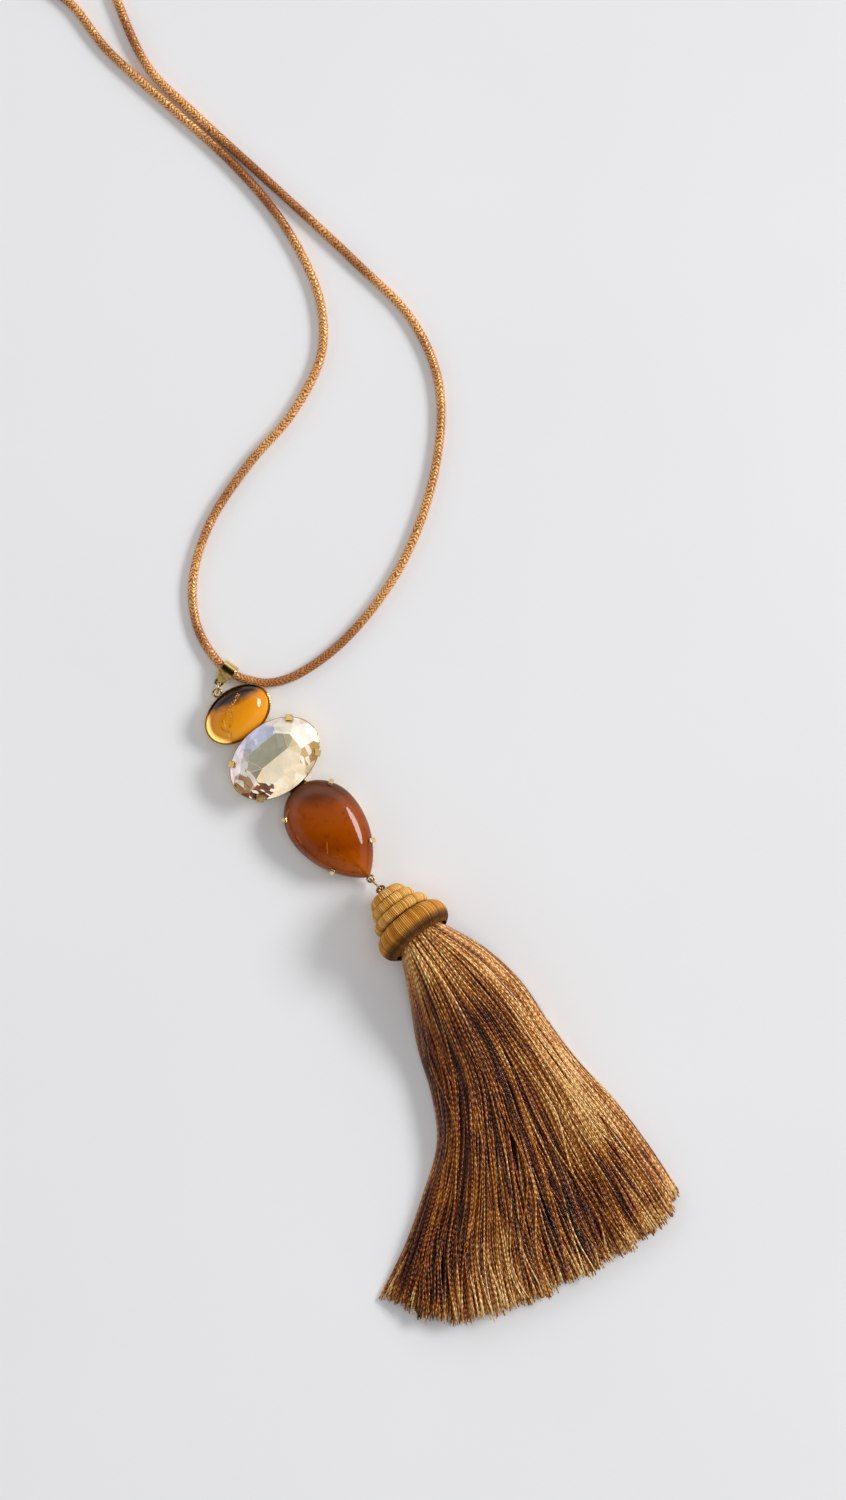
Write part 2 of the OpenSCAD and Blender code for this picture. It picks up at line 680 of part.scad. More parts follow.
module lock(i) {
    for (k = [0:stations - 2])
        hull() polyhedron(
            points = concat(lock_ring(i, k), lock_ring(i, k + 1, k < stations - 2 ? 0.02 : 0)),
            faces = [[for (j = [0:2 * lock_sides - 1]) j]]
        );
}

// Core of the cap in four steps, with the eye of twisted thread at its top
module head() {
    on_cap() {
        translate([0, 0, -eye_stem_w]) cylinder(h = ring_w + eye_stem_w, r = core_r(0) - 0.35, $fn = 32);
        translate([0, 0, 0.6]) cylinder(h = ring_w, r = core_r(0), $fn = 32);
        translate([0, 0, ring_w - 0.3]) cylinder(h = ring_w + 0.3, r = core_r(1), $fn = 48);
        translate([0, 0, 2 * ring_w - 0.2]) cylinder(h = ring_w + 0.3, r = core_r(2), $fn = 48);
        translate([0, 0, 3 * ring_w - 0.1]) cylinder(h = rim_w - 1, r = core_r(3), $fn = 48);
        translate([0, 0, -eye_stem_w]) rotate([cap_lean - eye_drop, 0, 0]) translate([0, 0, -eye_r])
            rotate([90, 0, 0]) rotate_extrude($fn = 24) translate([eye_r, 0]) circle(eye_thread_r, $fn = 12);
    }
}

module tassel_fringe() {
    color("darkgoldenrod") {
        head();
        for (i = [0:lock_count - 1]) lock(i);
    }
}

cord();
clasp();
bail();
bail_ring();
pendant_frame();
oval_cabochon();
crystal();
pear_cabochon();
tassel_link();
cap_ring_top();
cap_ring_upper();
cap_ring_lower();
cap_ring_rim();
tassel_fringe();
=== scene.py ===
import math
import bmesh
import bpy
import numpy as np
from mathutils import Matrix, Vector


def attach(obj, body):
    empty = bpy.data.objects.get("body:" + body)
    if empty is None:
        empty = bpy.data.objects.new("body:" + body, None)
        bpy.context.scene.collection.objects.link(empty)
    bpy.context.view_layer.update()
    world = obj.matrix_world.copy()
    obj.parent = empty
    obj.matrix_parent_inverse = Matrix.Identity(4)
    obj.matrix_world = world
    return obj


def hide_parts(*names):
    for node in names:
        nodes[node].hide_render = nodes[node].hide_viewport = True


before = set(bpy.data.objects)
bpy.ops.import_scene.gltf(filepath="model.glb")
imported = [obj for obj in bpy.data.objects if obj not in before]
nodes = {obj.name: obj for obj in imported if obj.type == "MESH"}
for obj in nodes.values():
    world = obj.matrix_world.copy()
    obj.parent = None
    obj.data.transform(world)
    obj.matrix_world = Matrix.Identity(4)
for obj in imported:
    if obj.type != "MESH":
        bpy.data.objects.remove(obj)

mm = 0.001
scene = bpy.context.scene
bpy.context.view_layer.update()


# helpers

def linear(hexColour):
    # sRGB hex to the linear colour that the nodes and lights take
    parts = [int(hexColour[i:i + 2], 16) / 255 for i in (1, 3, 5)]
    return [p / 12.92 if p <= 0.04045 else ((p + 0.055) / 1.055) ** 2.4 for p in parts] + [1.0]


def addNode(tree, kind, inputs=(), stops=None, **settings):
    # inputs in the sockets' order, or named in a dictionary: values, sockets, or nodes (their output in use)
    node = tree.nodes.new("ShaderNode" + kind)
    for name, value in settings.items():
        setattr(node, name, value)
    for name, value in inputs.items() if isinstance(inputs, dict) else enumerate(inputs):
        if isinstance(value, bpy.types.Node):
            value = next(output for output in value.outputs if output.enabled)
        if isinstance(value, bpy.types.NodeSocket):
            tree.links.new(value, node.inputs[name])
        else:
            node.inputs[name].default_value = value
    if stops:
        ramp = node.color_ramp
        while len(ramp.elements) < len(stops):
            ramp.elements.new(0.5)
        for element, (place, colour) in zip(ramp.elements, stops):
            element.position = place
            element.color = linear(colour) if isinstance(colour, str) else colour
    return node


def startMaterial(name):
    # the new material, its nodes, and the place on the piece that its patterns go by
    material = bpy.data.materials.new(name)
    material.use_nodes = True
    tree = material.node_tree
    tree.nodes.clear()
    return material, tree, addNode(tree, "TexCoord").outputs["Object"]


def endMaterial(material, looks):
    tree = material.node_tree
    addNode(tree, "OutputMaterial", {"Surface": addNode(tree, "BsdfPrincipled", looks)})
    return material


def addObject(name, data):
    made = bpy.data.objects.new(name, data)
    scene.collection.objects.link(made)
    return made


def buildPiece(name, points, quads, material, maps=None, ends=(), smooth=True):
    # points (n, 3) in metres, quads (m, 4), maps: values at the quads' corners, ends: points of closing faces
    mesh = bpy.data.meshes.new(name)
    corners = np.concatenate([quads.ravel(), *ends]).astype(np.int32)
    sizes = np.array([4] * len(quads) + [len(e) for e in ends], dtype=np.int32)
    mesh.vertices.add(len(points))
    mesh.vertices.foreach_set("co", points.astype(np.float32).ravel())
    mesh.loops.add(len(corners))
    mesh.loops.foreach_set("vertex_index", corners)
    mesh.polygons.add(len(sizes))
    mesh.polygons.foreach_set("loop_start", (np.cumsum(sizes) - sizes).astype(np.int32))
    mesh.polygons.foreach_set("use_smooth", np.full(len(sizes), smooth))
    for mapName, values in (maps or {}).items():
        layer = mesh.uv_layers.new(name=mapName)
        filled = np.zeros((len(corners), 2), dtype=np.float32)
        filled[:len(values)] = values
        layer.data.foreach_set("uv", filled.ravel())
    mesh.update(calc_edges=True)
    mesh.validate()
    mesh.materials.append(material)
    piece = addObject(name, mesh)
    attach(piece, "root")
    return piece


# corners of one face of a grid of points: steps down and over, going one way round or the other
outward = ((0, 0), (0, 1), (1, 1), (1, 0))
inward = ((0, 0), (1, 0), (1, 1), (0, 1))


def gridFaces(rows, columns, closed, corners=outward):
    # faces of a grid of points; where it is closed, its last row or column meets the first
    row = np.arange(rows - 1 + closed[0])[:, None]
    column = np.arange(columns - 1 + closed[1])
    faces = [(row + down) % rows * columns + (column + over) % columns for down, over in corners]
    return np.stack(faces, axis=-1).reshape(-1, 4)


def gridMap(shape, across, along, corners=outward):
    # two map values for each corner of a grid's faces, from the values on its lines
    pair = np.stack([np.broadcast_to(across, shape), np.broadcast_to(along, shape)], axis=-1)
    rows, columns = shape[-2] - 1, shape[-1] - 1
    faces = [pair[..., down:rows + down, over:columns + over, :] for down, over in corners]
    return np.stack(faces, axis=-2).reshape(-1, 2)


def tubes(lines, radius, sides, squash=1.0):
    # tubes round many lines at once: lines (n, rings, 3), radius (n, rings) or one number
    count, rings, _ = lines.shape
    way = np.gradient(lines, axis=1)
    way /= np.linalg.norm(way, axis=2, keepdims=True) + 1e-12
    side = np.cross(way, np.array([0.0, 0.0, 1.0]))
    side /= np.linalg.norm(side, axis=2, keepdims=True) + 1e-12
    top = np.cross(side, way)
    angle = 2 * np.pi * np.arange(sides) / sides
    reach = np.broadcast_to(np.asarray(radius, dtype=float), (count, rings))[..., None] * squash
    ring = side[:, :, None] * (reach * np.cos(angle))[..., None]
    ring = ring + top[:, :, None] * (reach * np.sin(angle))[..., None]
    points = (lines[:, :, None] + ring).reshape(-1, 3)
    first = np.arange(count)[:, None] * rings * sides
    quads = (first[..., None] + gridFaces(rings, sides, (False, True))).reshape(-1, 4)
    around = np.arange(sides)
    return points, quads, list(first + around[::-1]) + list(first + (rings - 1) * sides + around)


def between(p0, p1, p2, p3, s):
    # the smooth curve from p1 to p2, at the share s of the way
    return p1 + 0.5 * s * (p2 - p0 + s * (2 * p0 - 5 * p1 + 4 * p2 - p3 + s * (3 * (p1 - p2) + p3 - p0)))


def evenSteps(line, steps):
    # the line over again in even steps, and the run along it; steps: how many points, or how long a step is
    run = np.concatenate([[0], np.cumsum(np.linalg.norm(np.diff(line, axis=0), axis=1))])
    even = np.linspace(0, run[-1], steps if isinstance(steps, int) else int(run[-1] / steps) + 1)
    return np.stack([np.interp(even, run, column) for column in line.T], axis=1), even


def throughRows(rows, at):
    # smooth curve through the rows of a table, at a fractional row number
    padded = np.concatenate([[2 * rows[0] - rows[1]], rows, [2 * rows[-1] - rows[-2]]])
    k = np.clip(np.floor(at).astype(int), 0, len(rows) - 2)
    s = (at - k).reshape(at.shape + (1,) * (rows.ndim - 1))
    return between(padded[k], padded[k + 1], padded[k + 2], padded[k + 3], s)


# camera: straight over the necklace, turned as in the photograph

view = {
    "high": 375.0,  # of the surface, in mm
    "middle": (30.07, -21.65),
    "level": 2.0,  # over the surface, where that height holds
    "turn": -39.0,  # degrees
    "lens": 150.0,
    "sensor": 36.0,
}
cameraData = bpy.data.cameras.new("Camera")
cameraData.lens = view["lens"]
cameraData.sensor_width = view["sensor"]
cameraData.clip_start = 0.01
cameraData.clip_end = 20
camera = addObject("Camera", cameraData)
away = view["high"] * view["lens"] / view["sensor"] + view["level"]
camera.location = Vector((*view["middle"], away)) * mm
camera.rotation_euler = (0, 0, math.radians(view["turn"]))
scene.camera = camera
print("camera set")


# satin cord

cordPiece = {
    "thick": 2.2,
    "ringStep": 0.27,
    "sides": 20,
    "wales": 8,  # slanting columns of stitches round the cord
    "stitch": 0.95,  # length of one stitch, a little longer than the real one, so that it shows
    "slant": 1.7,  # stitches that a column leans over in half its width
    "deep": 0.04,  # how deep the stitches are
    "twist": 170.0,  # mm of cord for one turn of the columns
    "lift": 0.03,  # over the surface
    "darkerAt": (22, 12, 1),  # where it is darker and redder
    "offTone": "#80360A",
}
# the route of the CAD cord: x, y and lift over the surface, in mm, from the clasp round to the clasp
routeMm = [
    (3.95, 255, 1.2), (-14, 249, 0), (-25, 232, 0), (-19, 213, 0), (3, 203, 0), (28, 204, 0),
    (53, 204.5, 0), (71, 197, 0), (78.7, 181, 0), (78.9, 164, 0), (82.2, 143, 0), (85.5, 121, 0),
    (85.6, 101, 0), (81, 82.5, 0), (72.8, 71.5, 0), (58, 64.5, 0), (41, 61.3, 0), (24, 55.8, 0),
    (11.5, 47, 0), (5.3, 37, 0), (4.2, 26.8, 0.63), (5.4, 22.3, 0.63), (7.1, 19.6, 0.3), (10.4, 15.9, 0),
    (17, 12.9, 0), (33, 12.2, 0), (56, 18.2, 0), (78, 32.2, 0), (91, 47.5, 0), (95.6, 64, 0), (93.7, 84, 0),
    (90, 110, 0), (85.8, 138, 0), (84.1, 154, 0), (88.5, 172, 0), (96, 191, 0), (96.5, 213, 0),
    (85, 235, 0), (62, 250.5, 0), (16.05, 255, 1.2),
]
route = [Vector(p) * mm for p in routeMm]


def routeCurve():
    # the same smooth curve through the points as the CAD cord follows, with rings an even step apart
    ends = [2 * route[0] - route[1]] + route + [2 * route[-1] - route[-2]]
    steps = 120  # between two points of the route

    def blend(p, q, t, a, b):
        return p * (b - t) / (b - a) + q * (t - a) / (b - a)

    dense = []
    for i in range(len(route) - 1):
        p0, p1, p2, p3 = ends[i:i + 4]
        t1 = math.sqrt((p1 - p0).length)
        t2 = t1 + math.sqrt((p2 - p1).length)
        t3 = t2 + math.sqrt((p3 - p2).length)
        for k in range(steps):
            t = t1 + (t2 - t1) * k / steps
            a1, a2, a3 = blend(p0, p1, t, 0, t1), blend(p1, p2, t, t1, t2), blend(p2, p3, t, t2, t3)
            dense.append(blend(blend(a1, a2, t, 0, t2), blend(a2, a3, t, t1, t3), t, t1, t2))
    dense = np.array(dense + [route[-1]])
    dense[:, 2] += (cordPiece["thick"] / 2 + cordPiece["lift"]) * mm
    return evenSteps(dense, cordPiece["ringStep"] * mm)


def satinCordMaterial():
    # polyester satin, knitted: glossy raised stitches with painted shade in their grooves and painted
    # highlight on their crests, darker and redder near the bail and in broad patches
    material, tree, place = startMaterial("PolyesterSatinCord")
    around, along, _ = addNode(tree, "SeparateXYZ", [addNode(tree, "UVMap", uv_map="stitches")]).outputs
    # a saw across each pair of columns turns the slant round, a sine along the run draws the stitches
    column = addNode(tree, "Math", [around, cordPiece["wales"] / 2], operation="MULTIPLY")
    saw = addNode(tree, "Math", [column, 0.5], operation="PINGPONG")
    lean = addNode(tree, "Math", [saw, cordPiece["slant"]], operation="MULTIPLY")
    even = addNode(tree, "Math", [along, 1 / cordPiece["stitch"], lean], operation="MULTIPLY_ADD")
    loose = addNode(tree, "TexNoise", {"Vector": place, "Scale": 700.0, "Detail": 1.0})
    phase = addNode(tree, "Math", [loose, 2.0, even], operation="MULTIPLY_ADD")
    turn = addNode(tree, "Math", [phase, 2 * math.pi], operation="MULTIPLY")
    wave = addNode(tree, "Math", [turn], operation="SINE")
    ridge = addNode(tree, "MapRange", [wave, -1.0, 1.0])
    # fine filaments along each stitch, 0.4 mm apart, coarser than real ones so that they show
    fine = addNode(tree, "TexNoise", {"Vector": place, "Scale": 2600.0, "Detail": 2.0})
    broad = addNode(tree, "TexNoise", {"Vector": place, "Scale": 38.0, "Detail": 3.0})
    height = addNode(tree, "Math", [fine, 0.6, ridge], operation="MULTIPLY_ADD")
    # painted shade and highlight: the stitches' grooves go dark, their crests pale
    tone = addNode(tree, "ValToRGB", [height], [
        (0.1, "#7A380C"), (0.42, "#BC6A20"), (0.75, "#E2964A"), (0.98, "#FFCC8C"),
    ])
    # darker and redder near where the cord runs into the bail, and in broad patches
    darkerAt = Vector(cordPiece["darkerAt"]) * mm
    near = addNode(tree, "VectorMath", [place, darkerAt], operation="DISTANCE")
    towardBail = addNode(tree, "MapRange", [near, 12 * mm, 24 * mm, 0.6, 0.0])
    patchy = addNode(tree, "MapRange", [broad, 0.46, 0.66, 0.0, 0.75])
    offTone = addNode(tree, "Math", [towardBail, patchy], operation="MAXIMUM")
    colour = addNode(tree, "Mix", {0: offTone, 6: tone, 7: linear(cordPiece["offTone"])}, data_type="RGBA")
    bump = addNode(tree, "Bump", {"Height": height, "Strength": 0.5, "Distance": 0.1 * mm})
    gloss = addNode(tree, "MapRange", [height, 0.0, 1.5, 0.5, 0.26])
    return endMaterial(material, {
        "Base Color": colour, "Roughness": gloss, "Normal": bump, "Metallic": 0.3, "Specular IOR Level": 0.4,
    })


def makeCord():
    line, run = routeCurve()
    sides, radius = cordPiece["sides"], cordPiece["thick"] / 2
    runMm = run / mm
    around = np.arange(sides + 1) / sides
    twist = runMm / cordPiece["twist"] + 0.12 * np.sin(runMm / 31) + 0.05 * np.sin(runMm / 9.7)
    place = around + twist[:, None]
    saw = np.abs(((place[:, :sides] * cordPiece["wales"] / 2) % 1.0) - 0.5)
    stitches = np.sin(2 * np.pi * (runMm[:, None] / cordPiece["stitch"] - cordPiece["slant"] * saw))
    squash = 1 + cordPiece["deep"] / radius * (stitches - 0.4) + 0.012 * np.sin(runMm / 6.3)[:, None]
    points, quads, ends = tubes(line[None], radius * mm, sides, squash[None])
    stitchMap = gridMap((len(line), sides + 1), place, runMm[:, None])
    satin = satinCordMaterial()
    piece = buildPiece("satinCord", points, quads, satin, {"stitches": stitchMap}, ends)
    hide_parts("cord")
    print("cord", round(run[-1] / mm, 1), "mm,", len(quads) * 2, "triangles")


makeCord()


# gold-plated metal

goldPiece = {
    "dull": "#CFA35A",
    "colour": "#E8C884",
    "offTone": "#F6E2B0",
    "rough": (0.16, 0.24),  # polished, and scuffed
    "edge": 0.35,  # rounding of the edges
}


def goldMaterial():
    # brass plated in pale gold and polished: clean reflections, a little cloudy and scuffed
    material, tree, place = startMaterial("PolishedGoldPlate")
    cloud = addNode(tree, "TexNoise", {"Vector": place, "Scale": 260.0, "Detail": 4.0})
    scuff = addNode(tree, "TexNoise", {"Vector": place, "Scale": 3200.0, "Detail": 2.0})
    tones = zip((0.3, 0.5, 0.7), (goldPiece["dull"], goldPiece["colour"], goldPiece["offTone"]))
    colour = addNode(tree, "ValToRGB", [cloud], list(tones))
    rough = addNode(tree, "MapRange", [scuff, 0.3, 0.8, *goldPiece["rough"]])
    # sawn and soldered edges are polished round, so each catches a line of light
    bump = addNode(tree, "Bevel", {"Radius": goldPiece["edge"] * mm}, samples=6)
    uneven = addNode(tree, "TexNoise", {"Vector": place, "Scale": 900.0, "Detail": 1.0})
    for height, strength, deep in ((uneven, 0.35, 0.16), (scuff, 0.1, 0.02)):
        inputs = {"Height": height, "Strength": strength, "Distance": deep * mm, "Normal": bump}
        bump = addNode(tree, "Bump", inputs)
    return endMaterial(material, {"Base Color": colour, "Metallic": 1.0, "Roughness": rough, "Normal": bump})


goldPlate = goldMaterial()
for name in ("clasp", "bail", "bail_ring", "pendant_frame", "tassel_link"):
    nodes[name].data.materials.clear()
    nodes[name].data.materials.append(goldPlate)
print("gold set")


# stones

ovalPiece = {
    "at": (-0.25, 14.42), "halfLong": 8.7, "halfWide": 5.95, "seat": 2.36, "edge": 0.7, "dome": 4.4,
    "middle": (0.0, 0.0),  # what the dome closes in on
    "bubbles": [
        [(3.2, 18.3), (1.4, 17.4), (-0.6, 16.9), (-2.4, 16.2), (-4.2, 15.3)],
        [(-5.6, 14.2), (-5.0, 12.9), (-4.6, 11.8), (-5.3, 10.8)],
        [(-0.4, 16.4), (-1.8, 14.6), (-3.6, 13.2)],
    ],
    "cracks": [[(-6.6, 9.9), (-5.6, 10.9), (-5.0, 12.0)], [(-3.9, 15.2), (-4.6, 13.8)]],
}
pearPiece = {
    "at": (-0.35, -20.0), "halfWide": 9.55, "head": 11.0, "flank": 21.7384, "flankOff": 12.1884,
    "seat": 3.1, "edge": 1.2, "dome": 5.4, "middle": (0.0, -1.45),
    "bubbles": [
        [(-5.0, -14.0), (-4.2, -15.5)], [(-3.8, -28.5), (-2.0, -29.5)], [(-6.5, -17.5), (-6.0, -19.0)],
    ],
    "cracks": [
        [(-3.0, -24.5), (-3.8, -25.6), (-4.6, -26.7)], [(-7.9, -18.6), (-8.1, -20.6)],
        [(-7.6, -13.2), (-5.2, -12.2)], [(-1.0, -34.6), (-1.2, -36.2)],
    ],
}
domes = {"levels": 48, "bubbleReach": 0.8, "crackReach": 0.35}  # how far from its line a flaw still shows


def ovalLine(count):
    turns = [2 * math.pi * i / count for i in range(count)]
    long, wide = ovalPiece["halfLong"], ovalPiece["halfWide"]
    return np.array([(long * math.cos(a), wide * math.sin(a)) for a in turns])


def pearLine(count):
    # the pear's outline: half an oval above, two arcs down to the tip
    p = pearPiece
    tip = math.acos(p["flankOff"] / p["flank"])
    head = [math.pi * i / count for i in range(count)]
    flank = [tip * i / (count // 2) for i in range(count // 2 + 1)]
    upper = [(p["halfWide"] * math.cos(a), p["head"] * math.sin(a)) for a in head]
    left = [(p["flankOff"] - p["flank"] * math.cos(a), -p["flank"] * math.sin(a)) for a in flank]
    return np.array(upper + left[:-1] + [(-x, y) for x, y in left[:0:-1]])


def nearness(points, lines, reach):
    # 1 on the nearest of some lines (x, y in mm), down to 0 a reach away
    far = np.full(len(points), np.inf)
    for a, b in np.array([pair for line in lines for pair in zip(line[:-1], line[1:])]):
        t = np.clip(((points - a) @ (b - a)) / ((b - a) @ (b - a)), 0, 1)
        far = np.minimum(far, np.linalg.norm(points - a - t[:, None] * (b - a), axis=1))
    return np.clip(1 - far / reach, 0, 1)


def domeStone(name, line, stone, material, node):
    # flat back, straight edge with soft corners, and a dome that closes in on its middle
    middle, at, edge, n = np.array(stone["middle"]), np.array(stone["at"]), stone["edge"], len(line)
    rings = [(0.965, 0.0), (0.99, 0.06), (1.0, 0.18), (1.0, edge * 0.6)]
    for k in range(domes["levels"]):
        a = math.pi / 2 * k / domes["levels"]
        rings.append((math.cos(a), edge + stone["dome"] * math.sin(a)))
    points = []
    for share, z in rings:
        points.append(np.column_stack([middle + (line - middle) * share + at, np.full(n, stone["seat"] + z)]))
    points = np.concatenate(points + [[[*(middle + at), stone["seat"] + edge + stone["dome"]]]])
    quads = gridFaces(len(rings), n, (False, True))
    last = (len(rings) - 1) * n
    cap = [[last + i, last + (i + 1) % n, len(points) - 1] for i in range(n)]
    flat = points[:, :2]
    flaws = np.stack([
        nearness(flat, stone["bubbles"], domes["bubbleReach"]),
        nearness(flat, stone["cracks"], domes["crackReach"]),
    ], axis=1)
    flawMap = flaws[np.concatenate([quads.ravel(), np.ravel(cap)])]
    ends = cap + [list(range(n))[::-1]]
    piece = buildPiece(name, points * mm, quads, material, {"flaws": flawMap}, ends)
    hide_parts(node)


def flawNodes(tree, place):
    # tiny bubbles strung along a line, and fine cracks, shown with painted reflection and shade: how much the
    # bubbles, their rims and the cracks show
    bubbleNear, crackNear, _ = addNode(tree, "SeparateXYZ", [addNode(tree, "UVMap", uv_map="flaws")]).outputs
    cells = addNode(tree, "TexVoronoi", {"Vector": place, "Scale": 2300.0}, feature="F1").outputs["Distance"]
    near = addNode(tree, "MapRange", [bubbleNear, 0.35, 0.75])
    shown = []
    for inside, outside in ((0.3, 0.42), (0.5, 0.62)):
        dot = addNode(tree, "MapRange", [cells, inside, outside, 1.0, 0.0])
        shown.append(addNode(tree, "Math", [dot, near], operation="MULTIPLY"))
    uneven = addNode(tree, "TexNoise", {"Vector": place, "Scale": 900.0, "Detail": 1.0})
    crackAt = addNode(tree, "Math", [uneven, 0.5, crackNear], operation="MULTIPLY_ADD")
    return shown + [addNode(tree, "MapRange", [crackAt, 0.72, 0.95])]


def amberResinMaterial():
    # cast amber resin, domed and polished: honey body, a painted dark reflection along the far edge, a
    # painted glow at the left end, threads of tiny bubbles
    material, tree, place = startMaterial("CastAmberResin")
    x, y, _ = addNode(tree, "SeparateXYZ", [place]).outputs
    smear = addNode(tree, "TexNoise", {"Vector": place, "Scale": 230.0, "Detail": 4.0})
    # how far a place is towards the far edge, along a bent line
    square = addNode(tree, "Math", [x, x], operation="MULTIPLY")
    tilted = addNode(tree, "Math", [x, 0.27, y], operation="MULTIPLY_ADD")
    bent = addNode(tree, "Math", [square, -20.0, tilted], operation="MULTIPLY_ADD")
    reflectionShare = addNode(tree, "MapRange", [bent, 8.5 * mm, 20.6 * mm])
    reflectionRough = addNode(tree, "Math", [smear, 0.3, reflectionShare], operation="MULTIPLY_ADD")
    # painted reflection: the colour turns to a dark band along the far edge
    colour = addNode(tree, "ValToRGB", [reflectionRough], [
        (0.1, "#FFAE20"), (0.45, "#F8A018"), (0.78, "#E48E1A"), (0.86, "#B0681C"), (0.92, "#5A3218"),
        (0.97, "#2A140C"),
    ])
    # light gathers at the stone's left end
    (midX, midY), long, wide = ovalPiece["at"], ovalPiece["halfLong"], ovalPiece["halfWide"]
    shares = addNode(tree, "Mapping", {
        "Vector": place, "Location": (-midX / long, -midY / wide, 0),
        "Scale": (1 / (long * mm), 1 / (wide * mm), 0),
    })
    out = addNode(tree, "VectorMath", [shares], operation="LENGTH")
    outer = addNode(tree, "MapRange", [out, 0.84, 0.97])
    leftEnd = addNode(tree, "MapRange", [x, -5.6 * mm, -7.6 * mm])
    glow = addNode(tree, "Math", [outer, leftEnd], operation="MULTIPLY")
    bubble, rim, crack = flawNodes(tree, place)
    # the flaws are real; their light cores and cracks are painted reflection, the darker rims painted shade
    for share, over in ((glow, "#FFDF90"), (rim, "#B06414"), (bubble, "#FFBE60"), (crack, "#FFC860")):
        colour = addNode(tree, "Mix", {0: share, 6: colour, 7: linear(over)}, data_type="RGBA")
    return endMaterial(material, {
        "Base Color": colour, "Roughness": 0.03, "IOR": 1.54, "Specular IOR Level": 0.36,
        "Transmission Weight": 0.06, "Emission Color": linear("#FFD070"), "Emission Strength": glow,
    })


def brownResinMaterial():
    # cast resin in burnt orange, smoky brown towards the top right as a painted reflection, painted shade
    # down its steep sides, with fine flaws inside
    material, tree, place = startMaterial("CastBrownResin")
    x, y, z = addNode(tree, "SeparateXYZ", [place]).outputs
    smear = addNode(tree, "TexNoise", {"Vector": place, "Scale": 170.0, "Detail": 4.0})
    slope = addNode(tree, "Math", [x, 0.7, y], operation="MULTIPLY_ADD")
    reflectionShare = addNode(tree, "MapRange", [slope, -38.0 * mm, -9.0 * mm])
    reflectionRough = addNode(tree, "Math", [smear, 0.22, reflectionShare], operation="MULTIPLY_ADD")
    # painted reflection: smoky brown towards the top right
    colour = addNode(tree, "ValToRGB", [reflectionRough], [
        (0.2, "#B65800"), (0.45, "#923C00"), (0.65, "#A44A06"), (0.85, "#A04A1A"), (1.0, "#68361E"),
    ])
    # small reddish clouds of the resin's own, then the flaws with their painted reflections
    cloud = addNode(tree, "TexNoise", {"Vector": place, "Scale": 620.0, "Detail": 3.0})
    spots = addNode(tree, "MapRange", [cloud, 0.56, 0.74, 0.0, 0.4])
    bubble, _, crack = flawNodes(tree, place)
    for share, over in ((spots, "#6E1E02"), (bubble, "#B86428"), (crack, "#C8702A")):
        colour = addNode(tree, "Mix", {0: share, 6: colour, 7: linear(over)}, data_type="RGBA")
    # painted shade: the colour darkens down the dome's steep sides
    deep = addNode(tree, "MapRange", [z, 4.4 * mm, 7.2 * mm, 0.5, 1.0])
    sideShaded = addNode(tree, "Mix", {0: 1.0, 6: colour, 7: deep}, data_type="RGBA", blend_type="MULTIPLY")
    return endMaterial(material, {
        "Base Color": sideShaded, "Roughness": 0.04, "IOR": 1.54, "Specular IOR Level": 0.26,
        "Transmission Weight": 0.06,
    })


crystalPiece = {
    "halfLong": 12.3, "halfWide": 8.7, "keel": 1.1, "girdle": 6.2, "crown": 6.6, "table": 9.2,
    "tableShare": 0.55, "cornerShare": 0.6, "cornerTurn": 46.6, "breaks": (36, 46), "keelHalf": 4.06,
    "flat": 27, "steep": 45, "breakTurn": 0.5, "breakSteep": 49,
    "sides": 128,  # of the round blank
    "edge": 0.16,  # width of the line of light along an edge
}
# how solid each kind of facet is to the eye, and how much its painted slivers of reflection break its tone up
facetLooks = {"Crown": (0.66, 0.45), "Flat": (1.0, 0.06), "Steep": (1.0, 0.5), "Break": (1.0, 0.6)}
# tones and painted reflections of the facets, by their turn round the stone: the silvered back, then the
# crown above it
facetTonesAndReflections = {
    "Flat": {
        0: "#DAC596", 45: "#A8A084", 90: "#80846E", 135: "#7C7E68", 180: "#6A6450", 225: "#E6D2AA",
        270: "#F0E2C6", 315: "#EAD8B0",
    },
    "Steep": {
        0: "#F3E6DA", 45: "#E9DDC8", 90: "#B7B3CC", 135: "#E2D6DC", 180: "#7A4414", 225: "#4A2208",
        270: "#E8D4AA", 315: "#C9A468",
    },
    "Break": {
        22: "#E8CFC6", 67: "#EFE6DC", 112: "#CFC6D6", 157: "#E6D8D4", 202: "#2E1608", 247: "#E4CFA4",
        292: "#5A3A14", 337: "#FFFFFF",
    },
    "Crown": {
        0: "#FAF4F0", 23: "#E2C8BA", 47: "#F4ECDC", 68: "#E4D6D6", 90: "#BFC3E0", 112: "#CFCBE0",
        133: "#E6DCE2", 157: "#F0E2DE", 180: "#B08458", 203: "#6A300A", 227: "#7A3E0C", 248: "#F0DEB8",
        270: "#EBD9B4", 292: "#D8BE8C", 313: "#B08A50", 337: "#FFFFFF",
    },
}


def glassMaterial():
    # the cut stone's table: clear polished glass, seen through down to the silvered back
    material, tree, place = startMaterial("CutLeadGlass")
    drift = addNode(tree, "TexNoise", {"Vector": place, "Scale": 120.0, "Detail": 2.0})
    colour = addNode(tree, "ValToRGB", [drift], [(0.35, "#F4EBD8"), (0.65, "#FBF4E6")])
    return endMaterial(material, {"Base Color": colour, "Roughness": 0.01, "IOR": 1.55, "Alpha": 0.14})


